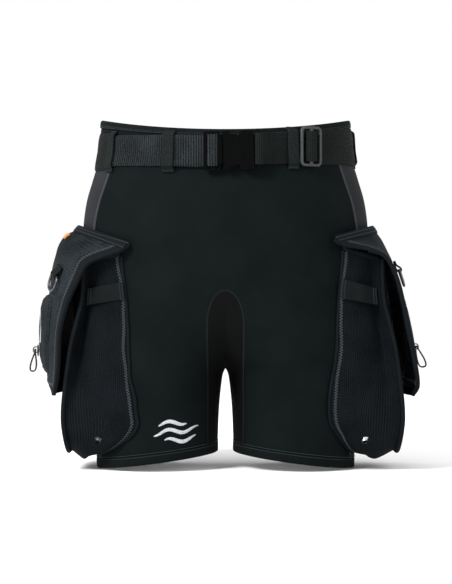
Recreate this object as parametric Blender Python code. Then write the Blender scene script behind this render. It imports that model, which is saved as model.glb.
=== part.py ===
"""Dive cargo shorts with a webbing waist belt and two bellows leg pockets.

Sizes in the functions are millimetres. X runs to the wearer's left, the front faces -Y, Z is up.
Heights are measured from the hems; make_object() moves everything so that the world origin is the
centre of the waist opening.
"""
import math

import bmesh
import bpy
from mathutils import Matrix, Vector

MM = 0.001
WAIST_HEIGHT = 420.0
GAP = 0.4

# Garment shell: (height above the hem, value) pairs.
SHELL_THICKNESS = 3.0
HALF_BREADTH = [(0, 160), (60, 163), (120, 168), (200, 174), (260, 178), (300, 177.5), (330, 173),
                (357, 165.5), (390, 157), (412, 155.5), (440, 155)]
FRONT_DEPTH = [(0, 80), (60, 86), (120, 95), (200, 112), (260, 122), (300, 123), (340, 118),
               (365, 113), (390, 111), (440, 110)]
BACK_FULLNESS = [(0, 0), (120, 2), (220, 10), (290, 12), (360, 4), (400, 0), (440, 0)]
LEG_INNER = [(0, 10), (60, 8), (100, 5), (116, 2.5), (124, -2), (135, -15), (150, -38), (185, -97),
             (220, -143), (260, -170), (300, -177.5)]
HIP_HEIGHT = 300.0
HEM_HEIGHT = 12.0
HEM_SLOPE = 0.13
HEM_REACH = 160.3
HEM_SLOPE_TOP = 142.0
ARCH_TOP = 220.0
ARCH_RADIUS = 40.0
ARCH_HALF_WIDTH = 22.0
BAND_BOTTOM = 389.0
BAND_TOP = 422.0
RIM = 432.0
FRONT_DIP = 19.0
BACK_DIP = 4.0

# Belt.
WEBBING_WIDTH = 38.0
WEBBING_THICKNESS = 1.8
BELT_OFFSET = 1.2
BELT_HEIGHT = [(-180, 392), (-135, 389), (-90, 386.5), (-45, 394), (0, 398), (90, 394), (180, 392)]
LOOP_WIDTH = 14.0
LOOP_CLEARANCE = 6.4
DOUBLE_LOOP_CLEARANCE = 10.0
LOOP_THICKNESS = 1.6
BUCKLE_X = 5.0
BUCKLE_TILT = 1.5
BUCKLE_HALF_HEIGHT = 23.0
BAR_REACH = 21.2
BUCKLE_FRONT_Y = -125.0
BUCKLE_THICKNESS = 11.0
WEBBING_CURVE_RADIUS = 215.0
TRIGLIDE_ANGLE = -50.5
TRIGLIDE_RADIUS = 147.0
TRIGLIDE_STANDOFF = 6.6

# Leg pockets; flare moves a pocket outwards (wearer's left) or inwards (wearer's right).
SIDES = {"left": 1, "right": -1}
PANEL_FLARE = {"left": 10.0, "right": -8.0}
PIPING_X = [(20, 200), (64, 205), (106, 202), (150, 196), (180, 189), (210, 182), (262, 180)]
POCKET_TOP = 258.0
POCKET_BOTTOM = 24.0
POCKET_HALF_WIDTH = 76.0
POCKET_CORNER = 38.0
GUSSET_THICKNESS = 2.4
GUSSET_WIDEN = {
    "right": [(20, 0.10), (40, 0.10), (55, 0.095), (75, 0.114), (90, 0.138), (110, 0.155),
              (133, 0.178), (200, 0.16), (262, 0.165)],
    "left": [(20, -0.14), (43, -0.11), (57, -0.04), (82, 0.025), (115, 0.06), (135, 0.04),
             (160, 0.01), (213, -0.01), (262, 0.0)],
}
GUSSET_SAG = 8.0
GUSSET_RISE = {"right": 5.0, "left": 13.0}
GUSSET_RISE_START = 195.0
PANEL_BULGE = 7.0
PANEL_TO_LEG = 14.0
STRAP_HEIGHT = 218.0
STRAP_WIDTH = 20.0

# Flap: (share of the way from the thigh to the free edge, (x, height)) along its middle and ends.
FLAP_THICKNESS = 4.0
FLAP_MID = {
    "right": [(0, (181.5, 299)), (0.06, (188, 292)), (0.12, (198, 287.5)), (0.18, (206, 276)),
              (0.26, (210, 262)), (0.36, (214, 245)), (0.5, (218, 215)), (0.66, (220, 180)),
              (0.84, (220, 135)), (0.94, (219, 108)), (1, (212, 92))],
    "left": [(0, (181.5, 299)), (0.06, (188, 293)), (0.12, (195, 288)), (0.18, (201, 277)),
             (0.26, (206, 262)), (0.36, (210, 243)), (0.5, (216, 214)), (0.66, (222, 180)),
             (0.84, (230, 135)), (0.94, (235, 108)), (1, (230, 91))],
}
FLAP_EDGE = {
    "right": [(0, (110, 277)), (0.06, (125, 267)), (0.12, (151, 258)), (0.18, (166, 251)),
              (0.26, (174, 238)), (0.36, (183, 219)), (0.5, (192, 199)), (0.66, (199, 170)),
              (0.84, (202, 128)), (0.94, (205, 103)), (1, (209, 92))],
    "left": [(0, (128, 283)), (0.06, (137, 276)), (0.12, (152, 273)), (0.18, (172, 270)),
             (0.26, (191, 262)), (0.36, (203, 243)), (0.5, (213, 212)), (0.66, (221, 172)),
             (0.84, (230, 130)), (0.94, (233, 104)), (1, (228, 92))],
}
FLAP_HALF_WIDTH = {
    "right": [(0, 101), (0.06, 101), (0.18, 96), (0.5, 89), (0.84, 84), (0.94, 77), (1, 62)],
    "left": [(0, 96), (0.06, 97), (0.18, 95), (0.5, 89), (0.84, 84), (0.94, 77), (1, 62)],
}
FLAP_TO_LEG = 5.5
FLAP_FOLD_MID = 0.055
FLAP_FOLD_EDGE = 0.24
POUCH_SPAN = (0.5, 0.9)
POUCH_HALF_SPAN = 0.6
POUCH_DEPTH = 8.0
ZIP_HALF_WIDTH = 8.0
SLIDER_V = 0.8
RING_PLACE = (-0.62, 0.35)

COLOURS = {
    "neoprene": ((0.012, 0.016, 0.016), 0.75, 0.0),
    "neoprene_side": ((0.052, 0.055, 0.060), 0.8, 0.0),
    "binding": ((0.018, 0.021, 0.022), 0.8, 0.0),
    "webbing": ((0.026, 0.031, 0.034), 0.7, 0.0),
    "webbing_fine": ((0.012, 0.014, 0.013), 0.7, 0.0),
    "plastic": ((0.020, 0.022, 0.023), 0.42, 0.0),
    "triglide_plastic": ((0.045, 0.048, 0.048), 0.45, 0.0),
    "pocket_cloth": ((0.016, 0.020, 0.022), 0.8, 0.0),
    "flap_cloth": ((0.033, 0.038, 0.042), 0.8, 0.0),
    "zip_tape": ((0.008, 0.008, 0.009), 0.7, 0.0),
    "reflective": ((0.32, 0.33, 0.34), 0.35, 0.0),
    "steel": ((0.45, 0.46, 0.47), 0.3, 1.0),
    "cord": ((0.02, 0.02, 0.022), 0.7, 0.0),
    "hook_and_loop": ((0.010, 0.010, 0.011), 0.9, 0.0),
    "orange_tape": ((0.75, 0.18, 0.03), 0.6, 0.0),
}


# ---------------------------------------------------------------- small helpers
def smooth_value(table, at):
    """Value of a (position, value) table at a position, eased between its points."""
    if at <= table[0][0]:
        return table[0][1]
    for index in range(len(table) - 1):
        start, end = table[index], table[index + 1]
        if at <= end[0]:
            before = table[max(index - 1, 0)]
            after = table[min(index + 2, len(table) - 1)]
            slope_in = (end[1] - before[1]) / (end[0] - before[0])
            slope_out = (after[1] - start[1]) / (after[0] - start[0])
            span = end[0] - start[0]
            t = (at - start[0]) / span
            rise = t * t * (3 - 2 * t)
            return (start[1] * (1 - rise) + end[1] * rise + span * t * (1 - t) * (1 - t) * slope_in
                    - span * t * t * (1 - t) * slope_out)
    return table[-1][1]


def smooth_pair(table, at):
    """As smooth_value, for a table whose values are (x, height) pairs."""
    return [smooth_value([(place, pair[axis]) for place, pair in table], at) for axis in (0, 1)]


def spread(start, end, count):
    """Evenly spaced values from start to end, both included."""
    return [start + (end - start) * index / (count - 1) for index in range(count)]


def material(slot):
    """The Principled material of a slot, made once."""
    if slot in bpy.data.materials:
        return bpy.data.materials[slot]
    colour, roughness, metallic = COLOURS[slot]
    made = bpy.data.materials.new(slot)
    made.use_nodes = True
    shader = made.node_tree.nodes["Principled BSDF"]
    shader.inputs["Base Color"].default_value = (*colour, 1.0)
    shader.inputs["Roughness"].default_value = roughness
    shader.inputs["Metallic"].default_value = metallic
    made.diffuse_color = (*colour, 1.0)
    return made


def make_object(name, mesh_data, slot, origin=(0, 0, WAIST_HEIGHT)):
    """Turn a bmesh in millimetres above the hem into a named object whose origin is at origin."""
    bmesh.ops.translate(mesh_data, verts=mesh_data.verts, vec=-Vector(origin))
    bmesh.ops.scale(mesh_data, verts=mesh_data.verts, vec=(MM, MM, MM))
    bmesh.ops.recalc_face_normals(mesh_data, faces=mesh_data.faces)
    mesh = bpy.data.meshes.new(name)
    mesh_data.to_mesh(mesh)
    mesh_data.free()
    mesh.materials.append(material(slot))
    made = bpy.data.objects.new(name, mesh)
    made.location = (Vector(origin) - Vector((0, 0, WAIST_HEIGHT))) * MM
    bpy.context.collection.objects.link(made)
    return made


def quads_between(mesh_data, first, second, closed):
    """Faces between two equal rows of vertices."""
    count = len(first)
    for index in range(count if closed else count - 1):
        after = (index + 1) % count
        corners = []
        for vertex in (first[index], first[after], second[after], second[index]):
            if vertex not in corners:
                corners.append(vertex)
        if len(corners) > 2:
            mesh_data.faces.new(corners)


def shell_mesh(outer, inner, mirrored=False):
    """A closed sheet between two grids of points; mirrored joins it to its copy across x = 0."""
    mesh_data = bmesh.new()
    outer_rows = [[mesh_data.verts.new(point) for point in row] for row in outer]
    inner_rows = [[mesh_data.verts.new(point) for point in row] for row in inner]
    for rows in (outer_rows, inner_rows):
        for first, second in zip(rows, rows[1:]):
            quads_between(mesh_data, first, second, False)

    def wall(outside, inside):
        for index in range(len(outside) - 1):
            pair = (outside[index], outside[index + 1])
            if not (mirrored and all(abs(vertex.co.x) < 1e-6 for vertex in pair)):
                mesh_data.faces.new((*pair, inside[index + 1], inside[index]))

    wall(outer_rows[0], inner_rows[0])
    wall(outer_rows[-1], inner_rows[-1])
    wall([row[0] for row in outer_rows], [row[0] for row in inner_rows])
    wall([row[-1] for row in outer_rows], [row[-1] for row in inner_rows])
    if mirrored:
        everything = mesh_data.verts[:] + mesh_data.edges[:] + mesh_data.faces[:]
        bmesh.ops.mirror(mesh_data, geom=everything, axis="X", merge_dist=1e-4)
    return mesh_data


def sweep_mesh(sections, closed=False):
    """A solid through a list of equal cross-sections, capped at its ends unless it closes."""
    mesh_data = bmesh.new()
    rows = [[mesh_data.verts.new(point) for point in section] for section in sections]
    for first, second in zip(rows, rows[1:] + rows[:1] if closed else rows[1:]):
        quads_between(mesh_data, first, second, True)
    if not closed:
        mesh_data.faces.new(rows[0])
        mesh_data.faces.new(rows[-1])
    return mesh_data


def plate_mesh(columns, rows, holes, low, high, place=Vector):
    """A plate on a grid of lines with some cells left open; place maps (u, depth, v) to a point."""
    mesh_data = bmesh.new()
    made = {}

    def vertex(column, row, depth):
        key = (column, row, depth)
        if key not in made:
            made[key] = mesh_data.verts.new(place((columns[column], depth, rows[row])))
        return made[key]

    solid = {(c, r) for c in range(len(columns) - 1) for r in range(len(rows) - 1)} - set(holes)
    for column, row in solid:
        ring = [(column, row), (column + 1, row), (column + 1, row + 1), (column, row + 1)]
        mesh_data.faces.new([vertex(c, r, low) for c, r in ring])
        mesh_data.faces.new([vertex(c, r, high) for c, r in ring])
        beside = [(column, row - 1), (column + 1, row), (column, row + 1), (column - 1, row)]
        for index, neighbour in enumerate(beside):
            if neighbour not in solid:
                (c0, r0), (c1, r1) = ring[index], ring[(index + 1) % 4]
                mesh_data.faces.new((vertex(c0, r0, low), vertex(c1, r1, low),
                                     vertex(c1, r1, high), vertex(c0, r0, high)))
    return mesh_data


def box_mesh(low, high, place=Vector):
    """A box between two corners, passed through place."""
    return plate_mesh([low[0], high[0]], [low[2], high[2]], [], low[1], high[1], place)


# ---------------------------------------------------------------- garment surface
def leg_span(height):
    """Centre and half breadth of one leg's section; above the hips it is the whole body's."""
    outer = smooth_value(HALF_BREADTH, height)
    inner = smooth_value(LEG_INNER, height) if height < HIP_HEIGHT else -outer
    return (outer + inner) / 2, (outer - inner) / 2


def hem_rise(x, height):
    """How much higher the leg's cloth sits towards the inside, fading out above the hem."""
    share = min(max((height - HEM_HEIGHT) / (HEM_SLOPE_TOP - HEM_HEIGHT), 0), 1)
    return HEM_SLOPE * (HEM_REACH - x) * (1 - share * share * (3 - 2 * share))


def shell_point(angle, height, offset=0.0):
    """Point on the garment's outer face (degrees from the outer side, -90 is the front)."""
    turn = math.radians(angle)
    centre, half = leg_span(height)
    depth = smooth_value(FRONT_DEPTH, height)
    if turn % (2 * math.pi) < math.pi:
        depth += smooth_value(BACK_FULLNESS, height)
    lift = min(max((height - 300) / (RIM - 300), 0), 1)
    dip = FRONT_DIP if math.sin(turn) < 0 else BACK_DIP
    drop = dip * abs(math.sin(turn)) ** 1.5 * lift
    x = centre + half * math.cos(turn)
    point = Vector((x, depth * math.sin(turn), height - drop + hem_rise(x, height)))
    if offset:
        point += offset * shell_normal(angle, height)
    return point


def shell_normal(angle, height):
    """Outward unit normal of the garment surface."""
    step = 0.5
    along = shell_point(angle + step, height) - shell_point(angle - step, height)
    up = shell_point(angle, height + step) - shell_point(angle, height - step)
    return along.cross(up).normalized()


def seam_angle(height):
    """Angle of the side seams, fore and aft of the outer side."""
    return 25.5 + 4.5 * min(max((height - 300) / 90, 0), 1)


def inner_angle(height, inset=0.0):
    """Angle at which the front and back panels end: the centre line, or the arch's seam."""
    seam = 0.0
    if height < ARCH_TOP:
        rise = max(height - (ARCH_TOP - ARCH_RADIUS), 0) / ARCH_RADIUS
        seam = ARCH_HALF_WIDTH * math.sqrt(1 - rise * rise)
    centre, half = leg_span(height)
    return math.degrees(math.acos((seam + inset - centre) / half))


def on_plane(point):
    """The point moved onto the plane x = 0."""
    return Vector((0, point.y, point.z))


def panel_rows(heights, angles_at, sign=1):
    """Outer and inner grids of a panel, with the points at x = 0 kept on that plane."""
    outer, inner = [], []
    for height in heights:
        angles = [sign * angle for angle in angles_at(height)]
        rows = [[shell_point(angle, height, offset) for angle in angles]
                for offset in (0, -SHELL_THICKNESS)]
        for index, point in enumerate(rows[0]):
            if abs(point.x) < 0.01:
                rows[0][index] = on_plane(point)
                rows[1][index] = on_plane(rows[1][index])
        outer.append(rows[0])
        inner.append(rows[1])
    return outer, inner


def crotch_height():
    """Height at which the two legs' inner faces meet."""
    low, high = HEM_HEIGHT, ARCH_TOP
    for _ in range(40):
        middle = (low + high) / 2
        if smooth_value(LEG_INNER, middle) > 0:
            low = middle
        else:
            high = middle
    return low


def leg_heights():
    """Rows of the panels below the arch, one of them at the crotch."""
    meet = crotch_height()
    return [HEM_HEIGHT + GAP, 40, 68, 94, 112, meet, 128, 135, 144, 154, 166, 180, 196, 208, 215.5,
            218.5]


def panel_heights():
    """Rows shared by the front, back and side panels."""
    return leg_heights() + [ARCH_TOP + GAP, 240, 262, 284, 306, 328, 350, 370, BAND_BOTTOM - GAP]


def make_front_and_back():
    """Front and back panels, each joined across the centre line above the arch."""
    def angles_at(height):
        inset = 0 if height > ARCH_TOP else GAP
        return spread(seam_angle(height) + 0.25, inner_angle(height, inset), 9)

    for name, sign in (("front_panel", -1), ("back_panel", 1)):
        grids = panel_rows(panel_heights(), angles_at, sign)
        make_object(name, shell_mesh(*grids, mirrored=True), "neoprene")


def make_side_panels():
    """The charcoal panel down the outside of each leg."""
    def angles_at(height):
        return spread(-seam_angle(height), seam_angle(height), 7)

    for side, sign in SIDES.items():
        mesh_data = shell_mesh(*panel_rows(panel_heights(), angles_at))
        bmesh.ops.scale(mesh_data, verts=mesh_data.verts, vec=(sign, 1, 1))
        make_object("side_panel_" + side, mesh_data, "neoprene_side")


def make_gusset():
    """Inner-thigh gusset: the legs' inner faces, joined under the crotch and up to the arch."""
    meet = crotch_height()

    def angles_at(height):
        end = 180
        if height > meet + 0.01:
            centre, half = leg_span(height)
            end = math.degrees(math.acos(-centre / half))
        return spread(inner_angle(height, -GAP), end, 7)

    heights = leg_heights()
    joined = bmesh.new()
    for sign in (-1, 1):
        quarter = quarter_mesh(*panel_rows(heights, angles_at, sign))
        spare = bpy.data.meshes.new("spare")
        quarter.to_mesh(spare)
        quarter.free()
        joined.from_mesh(spare)
        bpy.data.meshes.remove(spare)
    everything = joined.verts[:] + joined.edges[:] + joined.faces[:]
    bmesh.ops.mirror(joined, geom=everything, axis="X", merge_dist=1e-4)
    bmesh.ops.remove_doubles(joined, verts=joined.verts, dist=1e-3)
    make_object("inner_thigh_gusset", joined, "neoprene")


def quarter_mesh(outer, inner):
    """A quarter of the gusset, left open where it joins the other quarters."""
    mesh_data = bmesh.new()
    outer_rows = [[mesh_data.verts.new(point) for point in row] for row in outer]
    inner_rows = [[mesh_data.verts.new(point) for point in row] for row in inner]
    for rows in (outer_rows, inner_rows):
        for first, second in zip(rows, rows[1:]):
            quads_between(mesh_data, first, second, False)
    quads_between(mesh_data, outer_rows[0], inner_rows[0], False)
    quads_between(mesh_data, outer_rows[-1], inner_rows[-1], False)
    quads_between(mesh_data, [row[0] for row in outer_rows], [row[0] for row in inner_rows], False)
    return mesh_data


def make_ring(name, low, high, slot, rows, count=48, thickness=SHELL_THICKNESS, proud=0.0, sign=1,
              level=False):
    """A closed band round a leg or the waist; level gives it a flat, sloping lower edge."""
    sections = []
    for index in range(count):
        angle = 360 * index / count
        heights = spread(low, high, rows)
        outside = [shell_point(angle, height, proud) for height in heights]
        inside = [shell_point(angle, height, -thickness) for height in reversed(heights)]
        if level:
            for corner in (outside[0], inside[-1]):
                corner.z = low + hem_rise(corner.x, low)
        sections.append(outside + inside)
    mesh_data = sweep_mesh(sections, closed=True)
    bmesh.ops.scale(mesh_data, verts=mesh_data.verts, vec=(sign, 1, 1))
    return make_object(name, mesh_data, slot)


# ---------------------------------------------------------------- belt
def height_for(angle, z):
    """Pattern height whose point at this angle lies at height z, undoing the rim's dip."""
    height = z
    for _ in range(12):
        height += z - shell_point(angle, height).z
    return height


def belt_point(angle, offset, z):
    """Point outside the waistband at an angle, an offset from it and a height z."""
    return shell_point(angle, height_for(angle, z), offset)


def belt_centre(angle):
    """Height of the belt's centre line at an angle from -180 to 180."""
    return smooth_value(BELT_HEIGHT, (angle + 180) % 360 - 180)


def angle_at_x(x):
    """Angle of the point on the front of the waist with this x."""
    return -math.degrees(math.acos(x / 156.0))


def make_webbing(name, start, end, slot, steps):
    """A length of belt webbing lying on the waistband between two angles."""
    near = BELT_OFFSET
    sections = []
    for angle in spread(start, end, steps):
        centre = belt_centre(angle)
        low, high = centre - WEBBING_WIDTH / 2, centre + WEBBING_WIDTH / 2
        heights = (low, centre, high)
        near_side = [belt_point(angle, near, z) for z in heights]
        far_side = [belt_point(angle, near + WEBBING_THICKNESS, z) for z in reversed(heights)]
        sections.append(near_side + far_side)
    make_object(name, sweep_mesh(sections), slot)


def make_belt_loop(name, angle, clearance=LOOP_CLEARANCE):
    """A sewn strap that stands off the waistband so that the belt passes behind it."""
    centre = belt_centre(angle)
    reach = WEBBING_WIDTH / 2
    half_turn = math.degrees(LOOP_WIDTH / 2 / 150)
    foot, outer = BELT_OFFSET, clearance + LOOP_THICKNESS
    profile = [(foot, reach + 5), (foot + LOOP_THICKNESS, reach + 5), (outer, reach + 1.2), (outer, 0),
               (outer, -reach - 1.2), (foot + LOOP_THICKNESS, -reach - 5.5), (foot, -reach - 5.5),
               (foot, -reach - 2.6), (clearance, -reach - 0.6), (clearance, 0),
               (clearance, reach + 0.6), (foot, reach + 2.6)]
    sections = [[belt_point(turn, offset, centre + up) for offset, up in profile]
                for turn in spread(angle - half_turn, angle + half_turn, 3)]
    make_object(name, sweep_mesh(sections), "webbing")


def buckle_place(point):
    """Map buckle coordinates (x along the belt, y out of its middle plane, z up) to the garment."""
    turned = Matrix.Rotation(math.radians(-BUCKLE_TILT), 3, "Y") @ Vector(point)
    return turned + Vector((BUCKLE_X, BUCKLE_FRONT_Y + BUCKLE_THICKNESS / 2, belt_centre(-90)))


def buckle_outline(points, low, high):
    """An upright prism from an (x, z) outline, between two depths."""
    sections = [[buckle_place((x, depth, z)) for x, z in points] for depth in (low, high)]
    return sweep_mesh(sections)


def unite(base, solids, slot, origin):
    """Join further solids onto an object with Boolean modifiers."""
    for index, solid in enumerate(solids):
        tool = make_object(base.name + "_tool_" + str(index), solid, slot, origin)
        tool.hide_render = True
        tool.display_type = "WIRE"
        union = base.modifiers.new("union_" + str(index), "BOOLEAN")
        union.operation = "UNION"
        union.object = tool


def make_buckle():
    """Side-release buckle: socket body, plug with its bar, and two sprung prongs."""
    half = BUCKLE_THICKNESS / 2
    wall = 1.8
    tall = BUCKLE_HALF_HEIGHT
    centre = (0, 0, WAIST_HEIGHT)
    plates = [(-8, -tall), (-8, tall), (0, tall), (2.5, tall - 6.5), (11, tall - 6.5), (14, tall),
              (23, tall), (28.4, tall - 1), (28.4, 1 - tall), (23, -tall), (14, -tall),
              (11, 6.5 - tall), (2.5, 6.5 - tall), (0, -tall)]
    inset = half - 0.3
    rails = [box_mesh((-7.7, -inset, min(inner, outer)), (-0.4, inset, max(inner, outer)),
                      buckle_place)
             for inner, outer in ((tall - 4.2, tall - 0.3), (4.2 - tall, 0.3 - tall))]
    shoulders = [box_mesh((22, -inset, min(inner, outer)), (28, inset, max(inner, outer)),
                          buckle_place) for inner, outer in ((9, tall - 3.4), (-9, 3.4 - tall))]
    ears = plate_mesh([27, 28.6, 32.8, 37], [0.4 - tall, -BAR_REACH, BAR_REACH, tall - 0.4], [(1, 1)],
                      -3.2, 3.2, buckle_place)
    body = make_object("buckle_body", buckle_outline(plates, -half, wall - half), "plastic")
    unite(body, [buckle_outline(plates, half - wall, half), *rails, *shoulders, ears], "plastic",
          centre)
    rear, front = -half + wall + 0.5, half - wall - 0.5
    plug = plate_mesh([-31, -27.5, -23.3, -17.7, -14, -11.5], [-tall, -BAR_REACH, BAR_REACH, tall],
                      [(1, 1), (3, 1)], -3.2, 3.2, buckle_place)
    neck = box_mesh((-11.7, rear, -15.5), (-8.5, front, 15.5), buckle_place)
    tongue = buckle_outline([(-8.8, -4), (-8.8, 4), (13, 3), (15, 0), (13, -3)], -1.6, 1.6)
    unite(make_object("buckle_plug", plug, "plastic"), [neck, tongue], "plastic", centre)
    for name, sign in (("prong_upper", 1), ("prong_lower", -1)):
        outline = [(-8.0, 10.5), (-8.0, 15.0), (-1, 14.5), (1.4, 15.0), (1.8, 20.0), (10.5, 18.0),
                   (18, 11.5), (19.5, 8.0), (16.5, 7.5), (12, 11.5), (2, 11.0)]
        points = [(x, sign * z) for x, z in outline]
        make_object(name, buckle_outline(points, rear + 0.2, front - 0.2), "plastic",
                    buckle_place((-8.0, 0, sign * 12.5)))


def arc_place(point):
    """Map (x, depth outwards, height over the belt's middle) onto the arc round the waist's front."""
    x, depth, height = point
    radius = WEBBING_CURVE_RADIUS + depth
    return Vector((x, WEBBING_CURVE_RADIUS - 110 - math.sqrt(radius * radius - x * x),
                   belt_centre(angle_at_x(x)) + height))


def route_webbing(name, route, slot):
    """Webbing along a list of (x, depth outwards from the waist's arc)."""
    thick = WEBBING_THICKNESS / 2
    reach = WEBBING_WIDTH / 2
    sections = []
    for index, (along, depth) in enumerate(route):
        before = route[max(index - 1, 0)]
        after = route[min(index + 1, len(route) - 1)]
        run = Vector((after[0] - before[0], after[1] - before[1])).normalized()
        side = Vector((-run.y, run.x)) * thick
        near, far = (along + side.x, depth + side.y), (along - side.x, depth - side.y)
        sections.append([arc_place((*near, -reach)), arc_place((*near, reach)),
                         arc_place((*far, reach)), arc_place((*far, -reach))])
    make_object(name, sweep_mesh(sections), slot)


def make_turned_webbing():
    """The webbing turned round the plug's bar, and the one turned round the body's bar."""
    route_webbing("buckle_webbing",
                  [(-74, 7.2), (-62, 7.2), (-50, 7.0), (-40, 6.2), (-32, 4.9), (-26, 4.7),
                   (-22.5, 4.9), (-20.7, 7.0), (-20.4, 12.6), (-18.9, 14.9), (-15.5, 15.2),
                   (-12.1, 14.8), (-10.8, 12.4), (-10.8, 7.0), (-12.0, 5.0), (-15.0, 4.7),
                   (-17.5, 4.8)],
                  "webbing")
    route_webbing("belt_webbing_adjust",
                  [(45, 7.2), (40, 6.9), (36.7, 7.6), (35.6, 10.4), (35.6, 15.6), (36.8, 18.2),
                   (40.5, 19.0), (44.5, 17.8), (50, 13), (57, 8), (65, 4.9), (76, 3.9), (90, 4.4)],
                  "webbing_fine")


def triglide_place(point):
    """Map (distance along, depth outwards, height) onto the arc that the tri-glide slides on."""
    along, depth, height = point
    seat = belt_point(TRIGLIDE_ANGLE, 0, belt_centre(TRIGLIDE_ANGLE))
    outward = shell_normal(TRIGLIDE_ANGLE, height_for(TRIGLIDE_ANGLE, seat.z))
    outward.z = 0
    outward.normalize()
    tangent = Vector((-outward.y, outward.x, 0))
    turn = along / TRIGLIDE_RADIUS
    radius = TRIGLIDE_RADIUS + depth
    return (seat + outward * (radius * math.cos(turn) - TRIGLIDE_RADIUS)
            + tangent * radius * math.sin(turn) + Vector((0, 0, height)))


def make_triglide():
    """The adjuster: a frame with a centre bar, and the webbing that turns over the bar."""
    low = TRIGLIDE_STANDOFF
    columns = [-14, -10.5, -7, -3.5, -1.2, 1.2, 3.5, 7, 10.5, 14]
    rows = [-24, -20.5, -7, 7, 20.5, 24]
    holes = [(c, r) for c in (1, 2, 6, 7) for r in (1, 2, 3)]
    frame = plate_mesh(columns, rows, holes, low, low + 3.6, triglide_place)
    make_object("triglide", frame, "triglide_plastic")
    over = low + 3.6 + GAP
    route = [(-5.6, low + 0.4), (-5.2, over + 0.2), (-3.2, over + 1.4), (0, over + 1.9),
             (3.2, over + 1.4), (5.2, over + 0.2), (5.6, low + 0.4)]
    sections = []
    for along, depth in route:
        lean = Vector((along, 4.0)).normalized() * WEBBING_THICKNESS
        is_end = abs(along) >= 5.4
        near, far = (along, depth), (along + lean.x, depth if is_end else depth + lean.y)
        sections.append([triglide_place((*near, -18)), triglide_place((*far, -18)),
                         triglide_place((*far, 18)), triglide_place((*near, 18))])
    make_object("triglide_webbing", sweep_mesh(sections), "webbing_fine")


def make_belt():
    """Every piece of the waist belt."""
    make_webbing("belt_webbing_front", angle_at_x(-58), -154, "webbing", 11)
    make_webbing("belt_webbing_back", angle_at_x(90) + 0.5, 205.7, "webbing_fine", 37)
    make_belt_loop("belt_loop_front_right", angle_at_x(-66), DOUBLE_LOOP_CLEARANCE)
    make_belt_loop("belt_loop_front_left", angle_at_x(79))
    make_belt_loop("belt_loop_side_right", -150)
    make_belt_loop("belt_loop_side_left", 8)
    make_belt_loop("belt_loop_back", 90)
    make_buckle()
    make_turned_webbing()
    make_triglide()


# ---------------------------------------------------------------- leg pockets
def pocket_length():
    """Length of the U that the gusset follows."""
    straight = POCKET_TOP - POCKET_BOTTOM - POCKET_CORNER
    return 2 * straight + POCKET_CORNER * math.pi + 2 * (POCKET_HALF_WIDTH - POCKET_CORNER)


def pocket_path(t):
    """Point (y, height) and outward direction on the U, t from front top to rear top."""
    straight = POCKET_TOP - POCKET_BOTTOM - POCKET_CORNER
    arc = POCKET_CORNER * math.pi / 2
    base = 2 * (POCKET_HALF_WIDTH - POCKET_CORNER)
    reach = t * pocket_length()
    centre_height = POCKET_BOTTOM + POCKET_CORNER
    inset = POCKET_HALF_WIDTH - POCKET_CORNER
    if reach <= straight:
        return -POCKET_HALF_WIDTH, POCKET_TOP - reach, (-1, 0)
    reach -= straight
    if reach <= arc:
        turn = reach / POCKET_CORNER
        lean = (-math.cos(turn), -math.sin(turn))
        return -inset + POCKET_CORNER * lean[0], centre_height + POCKET_CORNER * lean[1], lean
    reach -= arc
    if reach <= base:
        return -inset + reach, POCKET_BOTTOM, (0, -1)
    reach -= base
    if reach <= arc:
        turn = reach / POCKET_CORNER
        lean = (math.sin(turn), -math.cos(turn))
        return inset + POCKET_CORNER * lean[0], centre_height + POCKET_CORNER * lean[1], lean
    return POCKET_HALF_WIDTH, centre_height + reach - arc, (1, 0)


def leg_x(y, height):
    """X of the thigh's outer face at a y and height."""
    depth = smooth_value(FRONT_DEPTH, height)
    if y > 0:
        depth += smooth_value(BACK_FULLNESS, height)
    centre, half = leg_span(height)
    return centre + half * math.sqrt(max(1 - (y / depth) ** 2, 0))


def piping_x(height, side):
    """X of the seam between the gusset and the outer panel."""
    return smooth_value(PIPING_X, height) + PANEL_FLARE[side]


def gusset_section(t, w, side, inward):
    """Point on the bellows gusset: w runs from the thigh to the piping."""
    y, height, lean = pocket_path(t)
    widen = 1.0 + smooth_value(GUSSET_WIDEN[side], height) * (1 - w)
    sag = GUSSET_SAG * math.exp(-((t - 0.5) / 0.14) ** 2)
    swell = (5.0 + sag) * math.sin(math.pi * w) - inward
    y = y * widen + lean[0] * swell
    height += lean[1] * swell
    raised = max(height - GUSSET_RISE_START, 0) / (POCKET_TOP - GUSSET_RISE_START)
    height += GUSSET_RISE[side] * raised * (1 - w)
    near_x = leg_x(y, height) + 1.2
    x = near_x * (1 - w) + (piping_x(height, side) - 3.0) * w
    return Vector((SIDES[side] * x, y, height))


def panel_point(u, v, side, inward):
    """Point on the pocket's outer panel: u front to back, v bottom to top."""
    height = POCKET_BOTTOM + (POCKET_TOP - POCKET_BOTTOM) * v
    corner = max(POCKET_CORNER - (height - POCKET_BOTTOM), 0)
    width = POCKET_HALF_WIDTH - POCKET_CORNER + math.sqrt(POCKET_CORNER ** 2 - corner ** 2)
    edge = piping_x(height, side)
    bulge = max(PANEL_BULGE, leg_x(0, height) + PANEL_TO_LEG - edge) * min(1, 4 * v)
    x = edge + bulge * (1 - u * u) + 1.0 - inward
    return Vector((SIDES[side] * x, u * (width - 1.5), height))


def surface_patch(name, slot, point, spans, counts, depths, origin=(0, 0, WAIST_HEIGHT)):
    """A patch lying on a surface: point(u, v, offset) over two spans, between two offsets."""
    rows = [[[point(u, v, depth) for u in spread(*spans[0], counts[0])]
             for v in spread(*spans[1], counts[1])] for depth in depths]
    return make_object(name, shell_mesh(*rows), slot, origin)


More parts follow.
